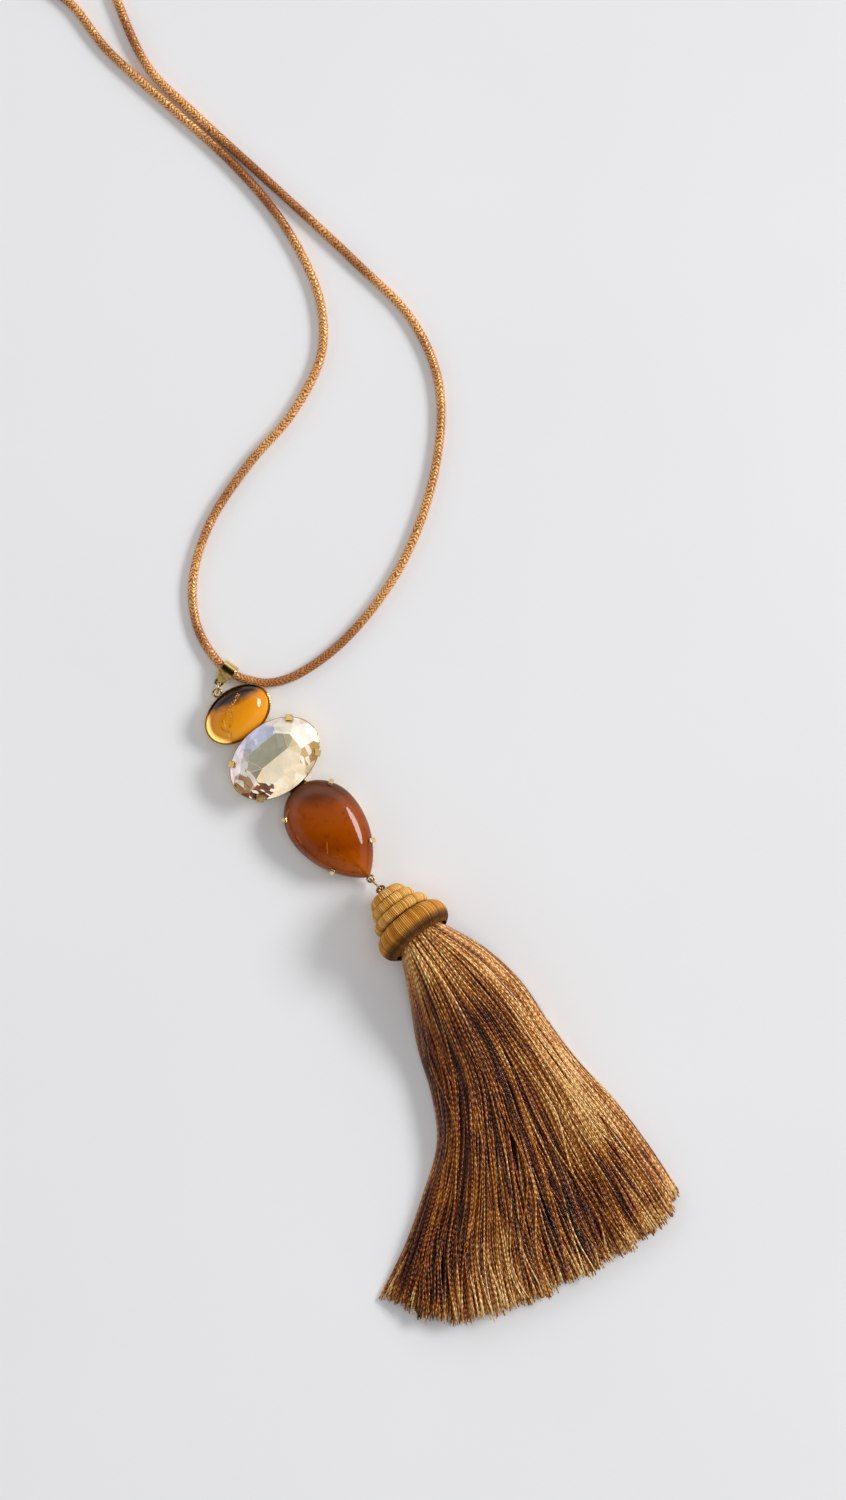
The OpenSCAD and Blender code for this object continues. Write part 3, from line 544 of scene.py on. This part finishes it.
def facetMaterial(name, tone, solid, broken, darkReflection="#6A4016", fine=460.0):
    # one facet of the cut glass: its own tone and painted reflection, painted slivers of the facets that it
    # mirrors, and a painted glow for the light sent back
    material, tree, place = startMaterial(name)
    thin = addNode(tree, "Mapping", {"Vector": place, "Rotation": (0.4, 0.7, 0.5), "Scale": (1.0, 0.4, 1.3)})
    cells = addNode(tree, "TexVoronoi", {"Vector": thin, "Scale": fine}, feature="F1").outputs["Color"]

    def toward(other, share):
        return [(1 - share) * a + share * b for a, b in zip(linear(tone), linear(other))]

    ramp = addNode(tree, "ValToRGB", [addNode(tree, "SeparateXYZ", [cells])], [
        (0.0, toward(darkReflection, broken)), (0.13, toward("#000000", 0.35 * broken)), (0.36, tone),
        (0.84, toward("#FFFCF6", broken)),
    ])
    ramp.color_ramp.interpolation = "CONSTANT"
    smoke = addNode(tree, "TexNoise", {"Vector": place, "Scale": 260.0, "Detail": 2.0})
    haze = addNode(tree, "MapRange", [smoke, 0.3, 0.7, 0.8, 1.08])
    colour = addNode(tree, "Mix", {0: 1.0, 6: ramp, 7: haze}, data_type="RGBA", blend_type="MULTIPLY")
    # the rounded normal leaves the true one only along an edge: a thin line of light there
    flatWay = addNode(tree, "NewGeometry").outputs["True Normal"]
    softWay = addNode(tree, "Bevel", {"Radius": crystalPiece["edge"] * mm}, samples=4)
    same = addNode(tree, "VectorMath", [flatWay, softWay], operation="DOT_PRODUCT")
    edge = addNode(tree, "MapRange", [same, 0.999, 0.985, 0.0, 0.5])
    edged = addNode(tree, "Mix", {0: edge, 6: colour, 7: linear("#FFF6E6")}, data_type="RGBA")
    # painted glow: the facet's colour is sent out as emission as well
    return endMaterial(material, {
        "Base Color": edged, "Roughness": 0.05, "IOR": 1.55, "Alpha": solid, "Specular IOR Level": 0.3,
        "Emission Color": edged, "Emission Strength": 0.4,
    })


def makeCrystal():
    c = crystalPiece
    mesh = bmesh.new()
    turns = [2 * math.pi * i / c["sides"] for i in range(c["sides"])]
    rim = [(c["halfLong"] * mm * math.cos(a), c["halfWide"] * mm * math.sin(a)) for a in turns]
    back, front = [], []
    for x, y in rim:
        back.append(mesh.verts.new((x, y, 0)))
        front.append(mesh.verts.new((x, y, c["table"] * mm)))
    mesh.faces.new(back[::-1])
    mesh.faces.new(front)
    for i in range(c["sides"]):
        k = (i + 1) % c["sides"]
        mesh.faces.new((back[i], back[k], front[k], front[i]))
    materials = [glassMaterial()]

    def reach(turn):
        a = math.radians(turn)
        return math.hypot(c["halfLong"] * math.cos(a), c["halfWide"] * math.sin(a))

    def addFacet(kind, number, turn, far, z, slope):
        # takes away what lies outside the facet's plane, and closes the cut with one face
        solid, broken = facetLooks[kind]
        more = {}
        if kind != "Flat" and 200 < number < 230:
            # painted reflection: the low corner shows the dark side of the room, in pieces
            solid, broken, more = 0.94, 0.9, {"darkReflection": "#140602", "fine": 1300.0}
        if kind == "Crown" and number in (180, 292, 313):
            broken, more = 0.7, {"fine": 900.0}
        tone = facetTonesAndReflections[kind][number]
        materials.append(facetMaterial("CutGlass" + kind + str(number), tone, solid, broken, **more))
        a, b = math.radians(turn), math.radians(slope)
        up = 1 if kind == "Crown" else -1
        way = Vector((math.sin(b) * math.cos(a), math.sin(b) * math.sin(a), math.cos(b) * up))
        cut = bmesh.ops.bisect_plane(
            mesh, geom=mesh.verts[:] + mesh.edges[:] + mesh.faces[:], dist=1e-7, plane_no=way,
            plane_co=Vector((far * math.cos(a), far * math.sin(a), z)) * mm, clear_outer=True,
        )
        edges = [e for e in cut["geom_cut"] if isinstance(e, bmesh.types.BMEdge)]
        if len(edges) > 2:
            for face in bmesh.ops.edgeloop_fill(mesh, edges=edges)["faces"]:
                face.material_index = len(materials) - 1

    def fourTurns(turn):
        return turn, 180 - turn, 180 + turn, -turn

    # the crown's main facets rise to the table, the breaks between them have slopes of their own
    rise = c["table"] - c["crown"]
    crown = (
        ((0, 90, 180, 270), (0, 90, 180, 270), c["tableShare"], None),
        ((47, 133, 227, 313), fourTurns(c["cornerTurn"]), c["cornerShare"], None),
        ((23, 157, 203, 337), fourTurns(c["cornerTurn"] / 2), None, c["breaks"][0]),
        ((68, 112, 248, 292), fourTurns(45 + c["cornerTurn"] / 2), None, c["breaks"][1]),
    )
    for numbers, turns, share, breakSlope in crown:
        for number, turn in zip(numbers, turns):
            slope = breakSlope or math.degrees(math.atan(rise / ((1 - share) * reach(turn))))
            addFacet("Crown", number, turn, reach(turn), c["crown"], slope)
    for turn in facetTonesAndReflections["Flat"]:
        addFacet("Flat", turn, turn, c["keelHalf"] * abs(math.cos(math.radians(turn))), c["keel"], c["flat"])
    for turn in facetTonesAndReflections["Steep"]:
        addFacet("Steep", turn, turn, reach(turn), c["girdle"], c["steep"])
    for number in facetTonesAndReflections["Break"]:
        turn = number + c["breakTurn"]
        addFacet("Break", number, turn, reach(turn), c["girdle"], c["breakSteep"])
    bmesh.ops.recalc_face_normals(mesh, faces=mesh.faces[:])
    crystalMesh = bpy.data.meshes.new("cutCrystal")
    mesh.to_mesh(crystalMesh)
    mesh.free()
    for material in materials:
        crystalMesh.materials.append(material)
    piece = addObject("cutCrystal", crystalMesh)
    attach(piece, "root")
    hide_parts("crystal")
    print("crystal", len(crystalMesh.polygons), "facets")


makeCrystal()
domeStone("ovalStone", ovalLine(240), ovalPiece, amberResinMaterial(), "oval_cabochon")
domeStone("pearStone", pearLine(120), pearPiece, brownResinMaterial(), "pear_cabochon")
print("stones made")


# wound cap

capPiece = {
    "at": (0.0, -43.2, 6.922),
    "lean": 14.0,
    "thread": 0.5,  # a little coarser than the real 0.42, so that the turns show
    "deep": 0.13,
    "askew": 0.35,  # of a thread's width, from one end of a rib to the other
    "bulge": 0.12,  # how far a band's rounding reaches past its sides
    "columns": 5,  # of points, to one turn of thread
    "profile": 28,  # points round a ring's section
}
# CAD node, rib's middle (None: a rounded band), outer radius, from and to along the cap, hole radius, slot
capRings = {
    "capTopRing": ("cap_ring_top", 2.75, 2.5, -0.1, 2.5, 1.5, "cap_thread"),
    "capUpperRing": ("cap_ring_upper", None, 6.3, 2.55, 5.45, 3.85, "cap_thread"),
    "capLowerRing": ("cap_ring_lower", None, 7.9, 5.6, 8.5, 4.85, "cap_thread"),
    "capRimRing": ("cap_ring_rim", None, 10.0, 8.65, 15.6, 7.7, "rim_thread"),
}
capTurn = Matrix.Rotation(math.radians(90 - capPiece["lean"]), 4, "X")
capMatrix = Matrix.Translation(Vector(capPiece["at"]) * mm) @ capTurn


def spun(r, w, angle):
    # a section in mm, turned round the cap's axis: points (angles, points of the section, 3)
    return np.stack(np.broadcast_arrays(r * np.cos(angle)[:, None], r * np.sin(angle)[:, None], w), axis=-1)


def placed(grid, matrix):
    m = np.array(matrix)
    return (grid * mm).reshape(-1, 3) @ m[:3, :3].T + m[:3, 3]


def woundThreadMaterial(name, tones, paintedShade=None):
    # silk thread wound side by side over a core: fine ridges, painted darker in the grooves and lighter on
    # the crests as shade and highlight, each turn its own tone
    material, tree, place = startMaterial(name)
    turns, wayRound, _ = addNode(tree, "SeparateXYZ", [addNode(tree, "UVMap", uv_map="turns")]).outputs
    number = addNode(tree, "Math", [turns], operation="FLOOR")
    shade = addNode(tree, "TexWhiteNoise", {"W": number}, noise_dimensions="1D")
    across = addNode(tree, "Math", [turns, 0.5], operation="PINGPONG")
    ridge = addNode(tree, "MapRange", [across, 0.0, 0.5])
    # filaments lie along the thread, so the noise is stretched round the section
    strands = addNode(tree, "CombineXYZ", [turns, wayRound])
    fine = addNode(tree, "TexNoise", {"Vector": strands, "Scale": 7.0, "Detail": 3.0})
    patch = addNode(tree, "TexNoise", {"Vector": place, "Scale": 420.0, "Detail": 2.0})
    height = -0.04
    for value, share in ((shade, 0.36), (ridge, 0.42), (fine, 0.35)):
        height = addNode(tree, "Math", [value, share, height], operation="MULTIPLY_ADD")
    tone = addNode(tree, "Math", [patch, 0.25, height], operation="MULTIPLY_ADD")
    colour = addNode(tree, "ValToRGB", [tone], tones)
    if paintedShade:
        # painted shade in the grooves between rings, on the underside and on the hole's wall: how unshaded it
        # is, by the way round the section
        unshaded = addNode(tree, "ValToRGB", [wayRound], [(at, [c, c, c, 1]) for at, c in paintedShade["unshaded"]])
        colour = addNode(tree, "Mix", {0: unshaded, 6: linear(paintedShade["colour"]), 7: colour}, data_type="RGBA")
    bump = addNode(tree, "Bump", {"Height": height, "Strength": 0.6, "Distance": 0.08 * mm})
    return endMaterial(material, {
        "Base Color": colour, "Roughness": 0.45, "Normal": bump, "Specular IOR Level": 0.14,
    })


def ringSection(middle, rib, w1, w2, hole):
    # outline of a ring's section, in even steps: the round rib, cut off at its sides and at its hole
    outer, fine = [], 720
    for i in range(fine):
        a = 2 * math.pi * i / fine
        r, w = middle[0] + rib * math.cos(a), middle[1] + rib * math.sin(a)
        if w1 <= w <= w2 and r >= hole and r >= middle[0]:
            outer.append((r, w))
    outer.sort(key=lambda p: math.atan2(p[1] - middle[1], p[0] - middle[0]))
    line = np.array([(hole, w1)] + outer + [(hole, w2)])  # the hole's wall closes it
    section, run = evenSteps(line, capPiece["profile"])
    return section, run / run[-1]


def makeCapRings():
    # thread colours from groove to crest, painted as shade and highlight, and how much painted shade lies
    # round the section
    gold = woundThreadMaterial(
        "WoundSilkGold", [(0.2, "#5E2A04"), (0.42, "#B4701A"), (0.64, "#DE9C3A"), (0.92, "#FCD68C")],
        {"colour": "#4E2206", "unshaded": [(0.0, 0.0), (0.24, 0.92), (0.76, 1.0), (0.94, 0.05)]},
    )
    brown = woundThreadMaterial(
        "WoundSilkBronze", [(0.2, "#5C2A08"), (0.42, "#9A5610"), (0.66, "#C47E22"), (0.95, "#F0B85E")],
        {
            "colour": "#2E0C02",
            "unshaded": [(0.0, 0.05), (0.14, 1.0), (0.56, 1.0), (0.68, 0.3), (0.8, 0.08), (1.0, 0.3)],
        },
    )
    count = capPiece["profile"]
    for name, (node, middleR, outer, w1, w2, hole, slotName) in capRings.items():
        rib, middle = outer, (middleR, w2 - 0.1)
        if middleR is None:
            rib = (w2 - w1) / 2 + capPiece["bulge"]
            middle = (outer - rib, (w1 + w2) / 2)
        section, share = ringSection(middle, rib, w1, w2, hole)
        turns = int(round(2 * math.pi * section[:, 0].max() / capPiece["thread"]))
        columns = turns * capPiece["columns"]
        angle = 2 * np.pi * np.arange(columns + 1) / columns
        place = angle[:, None] * turns / (2 * np.pi) + capPiece["askew"] * share
        way = np.gradient(section, axis=0)
        way /= np.linalg.norm(way, axis=1, keepdims=True)
        rise = capPiece["deep"] * (np.sin(np.pi * (place % 1.0)) - 1.0)
        grid = spun(section[:, 0] + rise * way[:, 1], section[:, 1] - rise * way[:, 0], angle)[:columns]
        again = np.minimum(np.arange(count + 1), count - 1)  # the hole's wall repeats the last line
        turnMap = gridMap((columns + 1, count + 1), place[:, again], share[again], inward)
        piece = buildPiece(
            name, placed(grid, capMatrix), gridFaces(columns, count, (True, True), inward),
            brown if slotName == "rim_thread" else gold, {"turns": turnMap},
        )
        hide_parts(node)
        print(name, turns, "turns of thread")


makeCapRings()


# fringe

fringePiece = {
    "length": 94.0,
    "mouth": (0.0, -57.2693, 10.4296),
    "neck": 7.1,
    "lift": 0.03,
    "thread": 0.42,
    "ply": 1.5,  # mm of thread for one crossing of its two plies
    "waves": 0.7,  # height of the soft waves on top
    "rings": 42,
    "sides": 5,
    "clumps": 70,
    "seed": 16,
}
# where the fringe turns from the light or to it: x, y, radius in mm, and how much darker or brighter
fringeShade = [
    (-0.7, -80.3, 8, -0.5), (-9, -76, 7, -0.15), (-12, -72, 4.5, -0.3), (-13, -79, 5, -0.2),
    (-12.3, -87, 8, -0.65), (-20, -87, 5, -0.25), (-15.7, -95, 8, -0.3), (-8, -100, 8, -0.38),
    (-23.5, -101, 8, -0.35), (-15, -112, 9, -0.28), (-31, -114.6, 9, -0.3), (-41, -118, 8, -0.34),
    (-40, -121, 8, -0.25), (-52, -124, 8, -0.45), (-13, -130, 9, -0.22), (2.7, -133, 7, -0.3),
    (-11.5, -138, 9, -0.28), (-26, -138, 7, -0.2), (-26, -131, 8, -0.1), (-3, -64, 4, -0.1),
    (-6, -72, 4, -0.15), (2.4, -89.3, 5, -0.2), (6, -76, 8, 0.14), (7.5, -92, 6, 0.15), (6, -104, 8, 0.12),
    (6, -116, 8, 0.1), (3, -125, 6, 0.2), (-56, -127, 7, -0.4), (-4, -90, 5, 0.15), (4, -144, 8, -0.06),
    (-38, -133, 6, 0.02),
]
# one row a station from the mouth to the ends: half thickness, share on the floor, roundness, and six guides
# (across, down), all in shares of the neck or the length
fan = [
    (0.81, 0.00, 2, [(-.056, -.01), (-.036, -.01), (-.019, -.01), (.015, -.01), (.038, -.01), (.062, -.01)]),
    (0.94, 0.65, 2, [(-.127, .120), (-.080, .130), (-.035, .140), (.010, .140), (.065, .140), (.115, .125)]),
    (0.82, 1.00, 3, [(-.190, .230), (-.120, .255), (-.065, .275), (.005, .280), (.070, .280), (.135, .255)]),
    (0.64, 1.00, 3, [(-.240, .350), (-.170, .380), (-.110, .415), (-.015, .425), (.065, .425), (.125, .385)]),
    (0.50, 1.00, 3, [(-.310, .460), (-.255, .495), (-.180, .540), (-.050, .570), (.055, .570), (.120, .520)]),
    (0.41, 1.00, 4, [(-.430, .545), (-.360, .600), (-.265, .670), (-.090, .710), (.045, .710), (.130, .660)]),
    (0.35, 1.00, 4, [(-.555, .620), (-.480, .700), (-.345, .800), (-.130, .850), (.035, .850), (.125, .810)]),
    (0.28, 1.00, 4, [(-.690, .680), (-.585, .835), (-.405, .930), (-.160, .985), (.020, .995), (.112, .955)]),
]


def fringeLines(u, high, endAt, seed, wander=0.5, gather=0.3):
    # centre lines of threads: u across the fan, high from -1 under to 1 on top, endAt where each ends
    p = fringePiece
    random = np.random.default_rng(seed)
    n, rings = len(u), p["rings"]
    share = np.linspace(0, 1, rings)
    at = share * (len(fan) - 1) * endAt[:, None]
    net = throughRows(np.array([row[3] for row in fan]), at)
    facts = throughRows(np.array([row[:3] for row in fan], dtype=float), at)
    wide = np.linalg.norm(net[:, :, 5] - net[:, :, 0], axis=2) * p["length"]
    # small sideways wander, and threads that gather into locks
    drift = np.zeros((n, rings))
    for waves in (0.7, 1.6, 3.1):
        start = random.random((n, 1))
        drift += np.sin(2 * np.pi * (waves * share + start)) * random.normal(0, wander / waves, (n, 1))
    drift *= share ** 0.8
    home = np.sort(random.random(p["clumps"]))
    rise = random.normal(0, 0.35, p["clumps"])
    turnAt = random.random((p["clumps"], 3))
    lock = np.abs(u[:, None] - home).argmin(axis=1)
    pull = gather * np.clip((share - 0.06) * 3, 0, 1)
    place = u[:, None] * (1 - pull) + home[lock][:, None] * pull
    sway = np.zeros((n, rings))
    for i, waves in enumerate((0.8, 1.7, 2.6)):
        sway += np.sin(2 * np.pi * (waves * share + turnAt[lock, i][:, None])) * (0.5 / waves)
    place = np.clip(place + (drift + sway * share) / wide, 0.003, 0.997)
    # across the six guides
    past = 2 * net[:, :, [0, 5]] - net[:, :, [1, 4]]
    flat = np.concatenate([past[:, :, :1], net, past[:, :, 1:]], axis=2)
    g = np.clip(np.floor(place * 5).astype(int), 0, 4)
    i, j = np.indices(g.shape)
    way = between(*(flat[i, j, g + step] for step in range(4)), (place * 5 - g)[..., None])
    deep = p["neck"] * facts[..., 0] * np.sqrt(np.clip(1 - np.abs(2 * place - 1) ** facts[..., 2], 0.0004, 1))
    floor = np.clip(facts[..., 1], 0, 1)
    middle = (1 - floor) * p["mouth"][2] + floor * (deep + p["lift"])
    half = p["thread"] / 2
    # the fringe lies in soft waves, highest on top
    wave = p["waves"] * np.sin(2 * np.pi * (2.3 * share - 0.9 * place + 0.1)) + rise[lock][:, None] * share
    wave = wave * np.clip(high, 0, 1)[:, None] * np.clip(deep / 3, 0, 1)
    z = middle + high[:, None] * np.maximum(deep - half, 0) + wave
    x = p["mouth"][0] + p["length"] * way[..., 0]
    y = p["mouth"][1] - p["length"] * way[..., 1]
    return np.stack([x, y, np.maximum(z, half + p["lift"])], axis=-1) * mm, share


def silkThreadMaterial():
    # two-ply rayon silk: bright glossy threads with a dotted twist painted in as highlight and shade, gold
    # and brown, painted deep brown shade between
    material, tree, place = startMaterial("TwoPlySilkThread")
    ownTone, shade, _ = addNode(tree, "SeparateXYZ", [addNode(tree, "UVMap", uv_map="thread")]).outputs
    around, run, _ = addNode(tree, "SeparateXYZ", [addNode(tree, "UVMap", uv_map="ply")]).outputs
    runs = addNode(tree, "Math", [run, 1 / fringePiece["ply"], around], operation="MULTIPLY_ADD")
    turn = addNode(tree, "Math", [runs, 2 * math.pi], operation="MULTIPLY")
    twist = addNode(tree, "Math", [turn], operation="SINE")
    patch = addNode(tree, "TexNoise", {"Vector": place, "Scale": 260.0, "Detail": 4.0})
    # the painted shade where a thread lies, its own tone, its twist painted as dots of highlight and shade,
    # and patches over all
    tone = 0.0
    for value, share in ((shade, 0.62), (ownTone, 0.56), (twist, 0.1), (patch, 0.3)):
        tone = addNode(tree, "Math", [value, share, tone], operation="MULTIPLY_ADD")
    colour = addNode(tree, "ValToRGB", [tone], [
        (0.34, "#200702"), (0.53, "#5C2206"), (0.7, "#A0550E"), (0.87, "#CC862A"), (1.0, "#F8D08C"),
    ])
    bump = addNode(tree, "Bump", {"Height": twist, "Strength": 0.7, "Distance": 0.1 * mm})
    return endMaterial(material, {
        "Base Color": colour, "Metallic": 0.15, "Roughness": 0.3, "Normal": bump, "Specular IOR Level": 0.6,
    })


def makeThreads(name, u, high, endAt, seed, material, highlightFloor=0.0, **shape):
    lines, share = fringeLines(u, high, endAt, seed, **shape)
    random = np.random.default_rng(seed + 100)
    n, rings, sides = len(u), fringePiece["rings"], fringePiece["sides"]
    thick = fringePiece["thread"] / 2 * mm * random.uniform(0.85, 1.12, (n, 1)) * np.ones((n, rings))
    thick[:, -1] *= 0.8
    points, quads, ends = tubes(lines, thick, sides)
    run = np.cumsum(np.linalg.norm(np.diff(lines, axis=1, prepend=lines[:, :1]), axis=2), axis=1) / mm
    run = run * random.uniform(0.7, 1.35, (n, 1)) + random.uniform(0, 3, (n, 1))
    tone = highlightFloor + (1 - highlightFloor) * random.random((n, 1))
    # a thread takes its shade a little before or after its neighbours do
    shift = random.normal(0, 5.0, (n, 1))
    away = (lines[:, -1] - lines[:, rings // 2]) / mm
    away /= np.linalg.norm(away, axis=1, keepdims=True)
    atX = lines[..., 0] / mm + shift * away[:, None, 0]
    atY = lines[..., 1] / mm + shift * away[:, None, 1]
    shade = np.full((n, rings), 0.5)
    for x, y, reach, much in fringeShade:
        shade += much * np.exp(-((atX - x) ** 2 + (atY - y) ** 2) / reach ** 2)
    shade += 0.25 * np.clip((share - 0.955) / 0.03, 0, 1)  # cut ends catch the light
    grid = (n, rings, sides + 1)
    maps = {
        "thread": gridMap(grid, tone[..., None], np.clip(shade, 0, 1)[..., None]),
        "ply": gridMap(grid, np.arange(sides + 1) / sides, run[..., None]),
    }
    print(name, n, "threads,", len(quads) * 2, "triangles")
    return buildPiece(name, points, quads, material, maps, ends)


def makeFringe():
    material = silkThreadMaterial()
    random = np.random.default_rng(fringePiece["seed"])
    layers = (  # how many threads, and from and to where in the thickness they lie, -1 under to 1 on top
        ("fringeTop", 320, 0.88, 1.0),
        ("fringeSecond", 320, 0.7, 0.95),
        ("fringeThird", 280, 0.35, 0.8),
        ("fringeCore", 220, -0.4, 0.4),
        ("fringeUnder", 240, -1.0, -0.5),
    )
    for number, (name, count, low, high) in enumerate(layers):
        u = (np.arange(count) + random.uniform(0, 1, count)) / count
        level = random.uniform(low, high, count)
        endAt = 1 + random.normal(0, 0.006, count) - 0.012 * (1 - level) * random.random(count)
        endAt -= 0.05 * random.random(count) * np.clip(1 - u / 0.14, 0, 1)  # the spread corner is ragged
        endAt += 0.006 * np.sin(2 * np.pi * (u * 9.3 + number))
        endAt += 0.005 * np.sin(2 * np.pi * (u * 23.7 + 2.1 * number))
        piece = makeThreads(name, u, level, endAt, 40 + number, material)
        if number == 0:
            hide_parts("tassel_fringe")
    # loose threads lie over the rest, painted bright as highlight, more of them towards the spread corner
    count = 70
    u = random.beta(0.9, 1.5, count)
    endAt = 1 + random.normal(-0.015, 0.012, count)
    level = random.uniform(0.96, 1.06, count)
    makeThreads("fringeLoose", u, level, endAt, 60, material, highlightFloor=0.62, wander=1.7, gather=0.0)


makeFringe()


def makeHead():
    # the head that the rings sit on, and the eye of twisted thread at its top
    tones = [(0.25, "#3A1806"), (0.5, "#7A4410"), (0.75, "#A06820"), (0.95, "#C89040")]
    silk = woundThreadMaterial("HeadSilk", tones)
    profile = np.array([
        (0.0, -0.6), (0.8, -0.6), (1.0, -0.2), (1.0, 0.55), (1.35, 0.6), (1.35, 2.65), (3.7, 2.7),
        (3.7, 5.65), (4.7, 5.7), (4.7, 8.7), (7.1, 8.8), (7.1, 14.8), (6.8, 15.0), (0.0, 15.0),
    ])
    columns, count = 72, len(profile)
    grid = spun(profile[None, :, 0], profile[None, :, 1], 2 * np.pi * np.arange(columns) / columns)
    turnMap = gridMap((columns + 1, count), np.arange(columns + 1)[:, None], profile[:, 1] / 15, inward)
    quads = gridFaces(columns, count, (True, False), inward)
    points = placed(grid, capMatrix)
    buildPiece("capHead", points, quads, silk, {"turns": turnMap}, smooth=False)

    # eye: a loop of two twisted threads, dropped forward by its own weight
    eye = {"radius": 0.95, "thick": 0.38, "twist": 0.22, "stem": 0.6, "drop": 50.0, "around": 96, "sides": 14}
    drop = Matrix.Rotation(math.radians(capPiece["lean"] - eye["drop"]), 4, "X")
    stem, arm = Matrix.Translation((0, 0, -eye["stem"] * mm)), Matrix.Translation((0, 0, -eye["radius"] * mm))
    around, sides = eye["around"], eye["sides"]
    a = 2 * np.pi * np.arange(around)[:, None] / around
    b = 2 * np.pi * np.arange(sides) / sides
    r = eye["thick"] * (1 - eye["twist"] * np.sin(b + 4 * a) ** 2)
    reach = eye["radius"] + r * np.cos(b)
    grid = np.stack([reach * np.cos(a), r * np.sin(b), reach * np.sin(a)], axis=-1)
    alongEye = np.arange(around + 1)[:, None] / around
    turnMap = gridMap((around + 1, sides + 1), np.arange(sides + 1) / sides * 4 + alongEye * 8, alongEye)
    points, quads = placed(grid, capMatrix @ stem @ drop @ arm), gridFaces(around, sides, (True, True))
    buildPiece("threadEye", points, quads, silk, {"turns": turnMap})


makeHead()
print("fringe and head made")


# floor, light and surroundings

studio = {
    "keyTurn": -20.0,  # degrees from the row's +X towards +Y
    "keyHigh": 34.0,
    "keyFar": 3.4,  # metres
    "keyWide": 0.95,
    "keyLong": 1.9,
    "keyPower": 69.0,
    "keyColour": "#FDFDFF",
    "fill": 0.8,
    "brighter": (0.63, 0.78, 0.0),  # the side where the room is brighter: beyond the cord's loop
    "overheadFar": 3.5,
    "overheadWide": 3.2,
    "overheadPower": 32.5,
    "floorHalf": 30.0,
    "floorLow": -0.09,  # mm, just under the cord's lowest stitches
}


def makeFloor():
    # painted board: matt and nearly white, with a faint unevenness
    material, tree, place = startMaterial("PaintedBoard")
    grain = addNode(tree, "TexNoise", {"Vector": place, "Scale": 9.0, "Detail": 2.0})
    colour = addNode(tree, "ValToRGB", [grain], [(0.3, "#F2F2F3"), (0.7, "#F5F5F6")])
    paint = {"Base Color": colour, "Roughness": 0.8, "Specular IOR Level": 0.2}
    half, z = studio["floorHalf"], studio["floorLow"] * mm
    mesh = bpy.data.meshes.new("floor")
    corners = [(-half, -half, z), (half, -half, z), (half, half, z), (-half, half, z)]
    mesh.from_pydata(corners, [], [(0, 1, 2, 3)])
    mesh.materials.append(endMaterial(material, paint))
    floor = addObject("floor", mesh)


def addLamp(name, shape, size, power, at):
    lamp = bpy.data.lights.new(name, "AREA")
    lamp.shape, lamp.size, lamp.energy = shape, size, power
    hung = addObject(name, lamp)
    hung.location = at
    return hung


def makeLight():
    # the softbox's long side lies level, across the light's way
    turn, high = math.radians(studio["keyTurn"]), math.radians(studio["keyHigh"])
    back = Vector((math.cos(turn) * math.cos(high), math.sin(turn) * math.cos(high), math.sin(high)))
    along = Vector((0, 0, 1)).cross(back).normalized()
    at = Vector((0, -0.02, 0)) + back * studio["keyFar"]
    softbox = addLamp("softbox", "ELLIPSE", studio["keyWide"], studio["keyPower"], at)
    softbox.data.size_y = studio["keyLong"]
    softbox.data.color = linear(studio["keyColour"])[:3]
    softbox.rotation_euler = Matrix((back.cross(along), along, back)).transposed().to_euler()

    # a large cloth overhead fills the shadows; the polished pieces don't mirror it
    at = (0, 0, studio["overheadFar"])
    cloth = addLamp("overheadCloth", "DISK", studio["overheadWide"], studio["overheadPower"], at)
    cloth.visible_glossy = False
    cloth.visible_transmission = False

    world = bpy.data.worlds.new("studio")
    scene.world = world
    world.use_nodes = True
    tree = world.node_tree
    tree.nodes.clear()
    way = addNode(tree, "TexCoord").outputs["Generated"]
    _, _, up = addNode(tree, "SeparateXYZ", [way]).outputs
    room = addNode(tree, "ValToRGB", [up], [
        (0.0, "#8A8A8C"), (0.18, "#B4B4B6"), (0.34, "#FFFFFF"), (0.58, "#FFFFFF"), (0.72, "#6A6A6E"),
        (0.88, "#161618"),
    ])
    beyond = addNode(tree, "VectorMath", [way, studio["brighter"]], operation="DOT_PRODUCT")
    strength = addNode(tree, "MapRange", [beyond, -0.8, 0.8, 0.6 * studio["fill"], 1.4 * studio["fill"]])
    addNode(tree, "OutputWorld", {"Surface": addNode(tree, "Background", [room, strength])})
    scene.view_settings.view_transform = "Standard"
    scene.view_settings.look = "None"


makeFloor()
makeLight()
print("studio set")
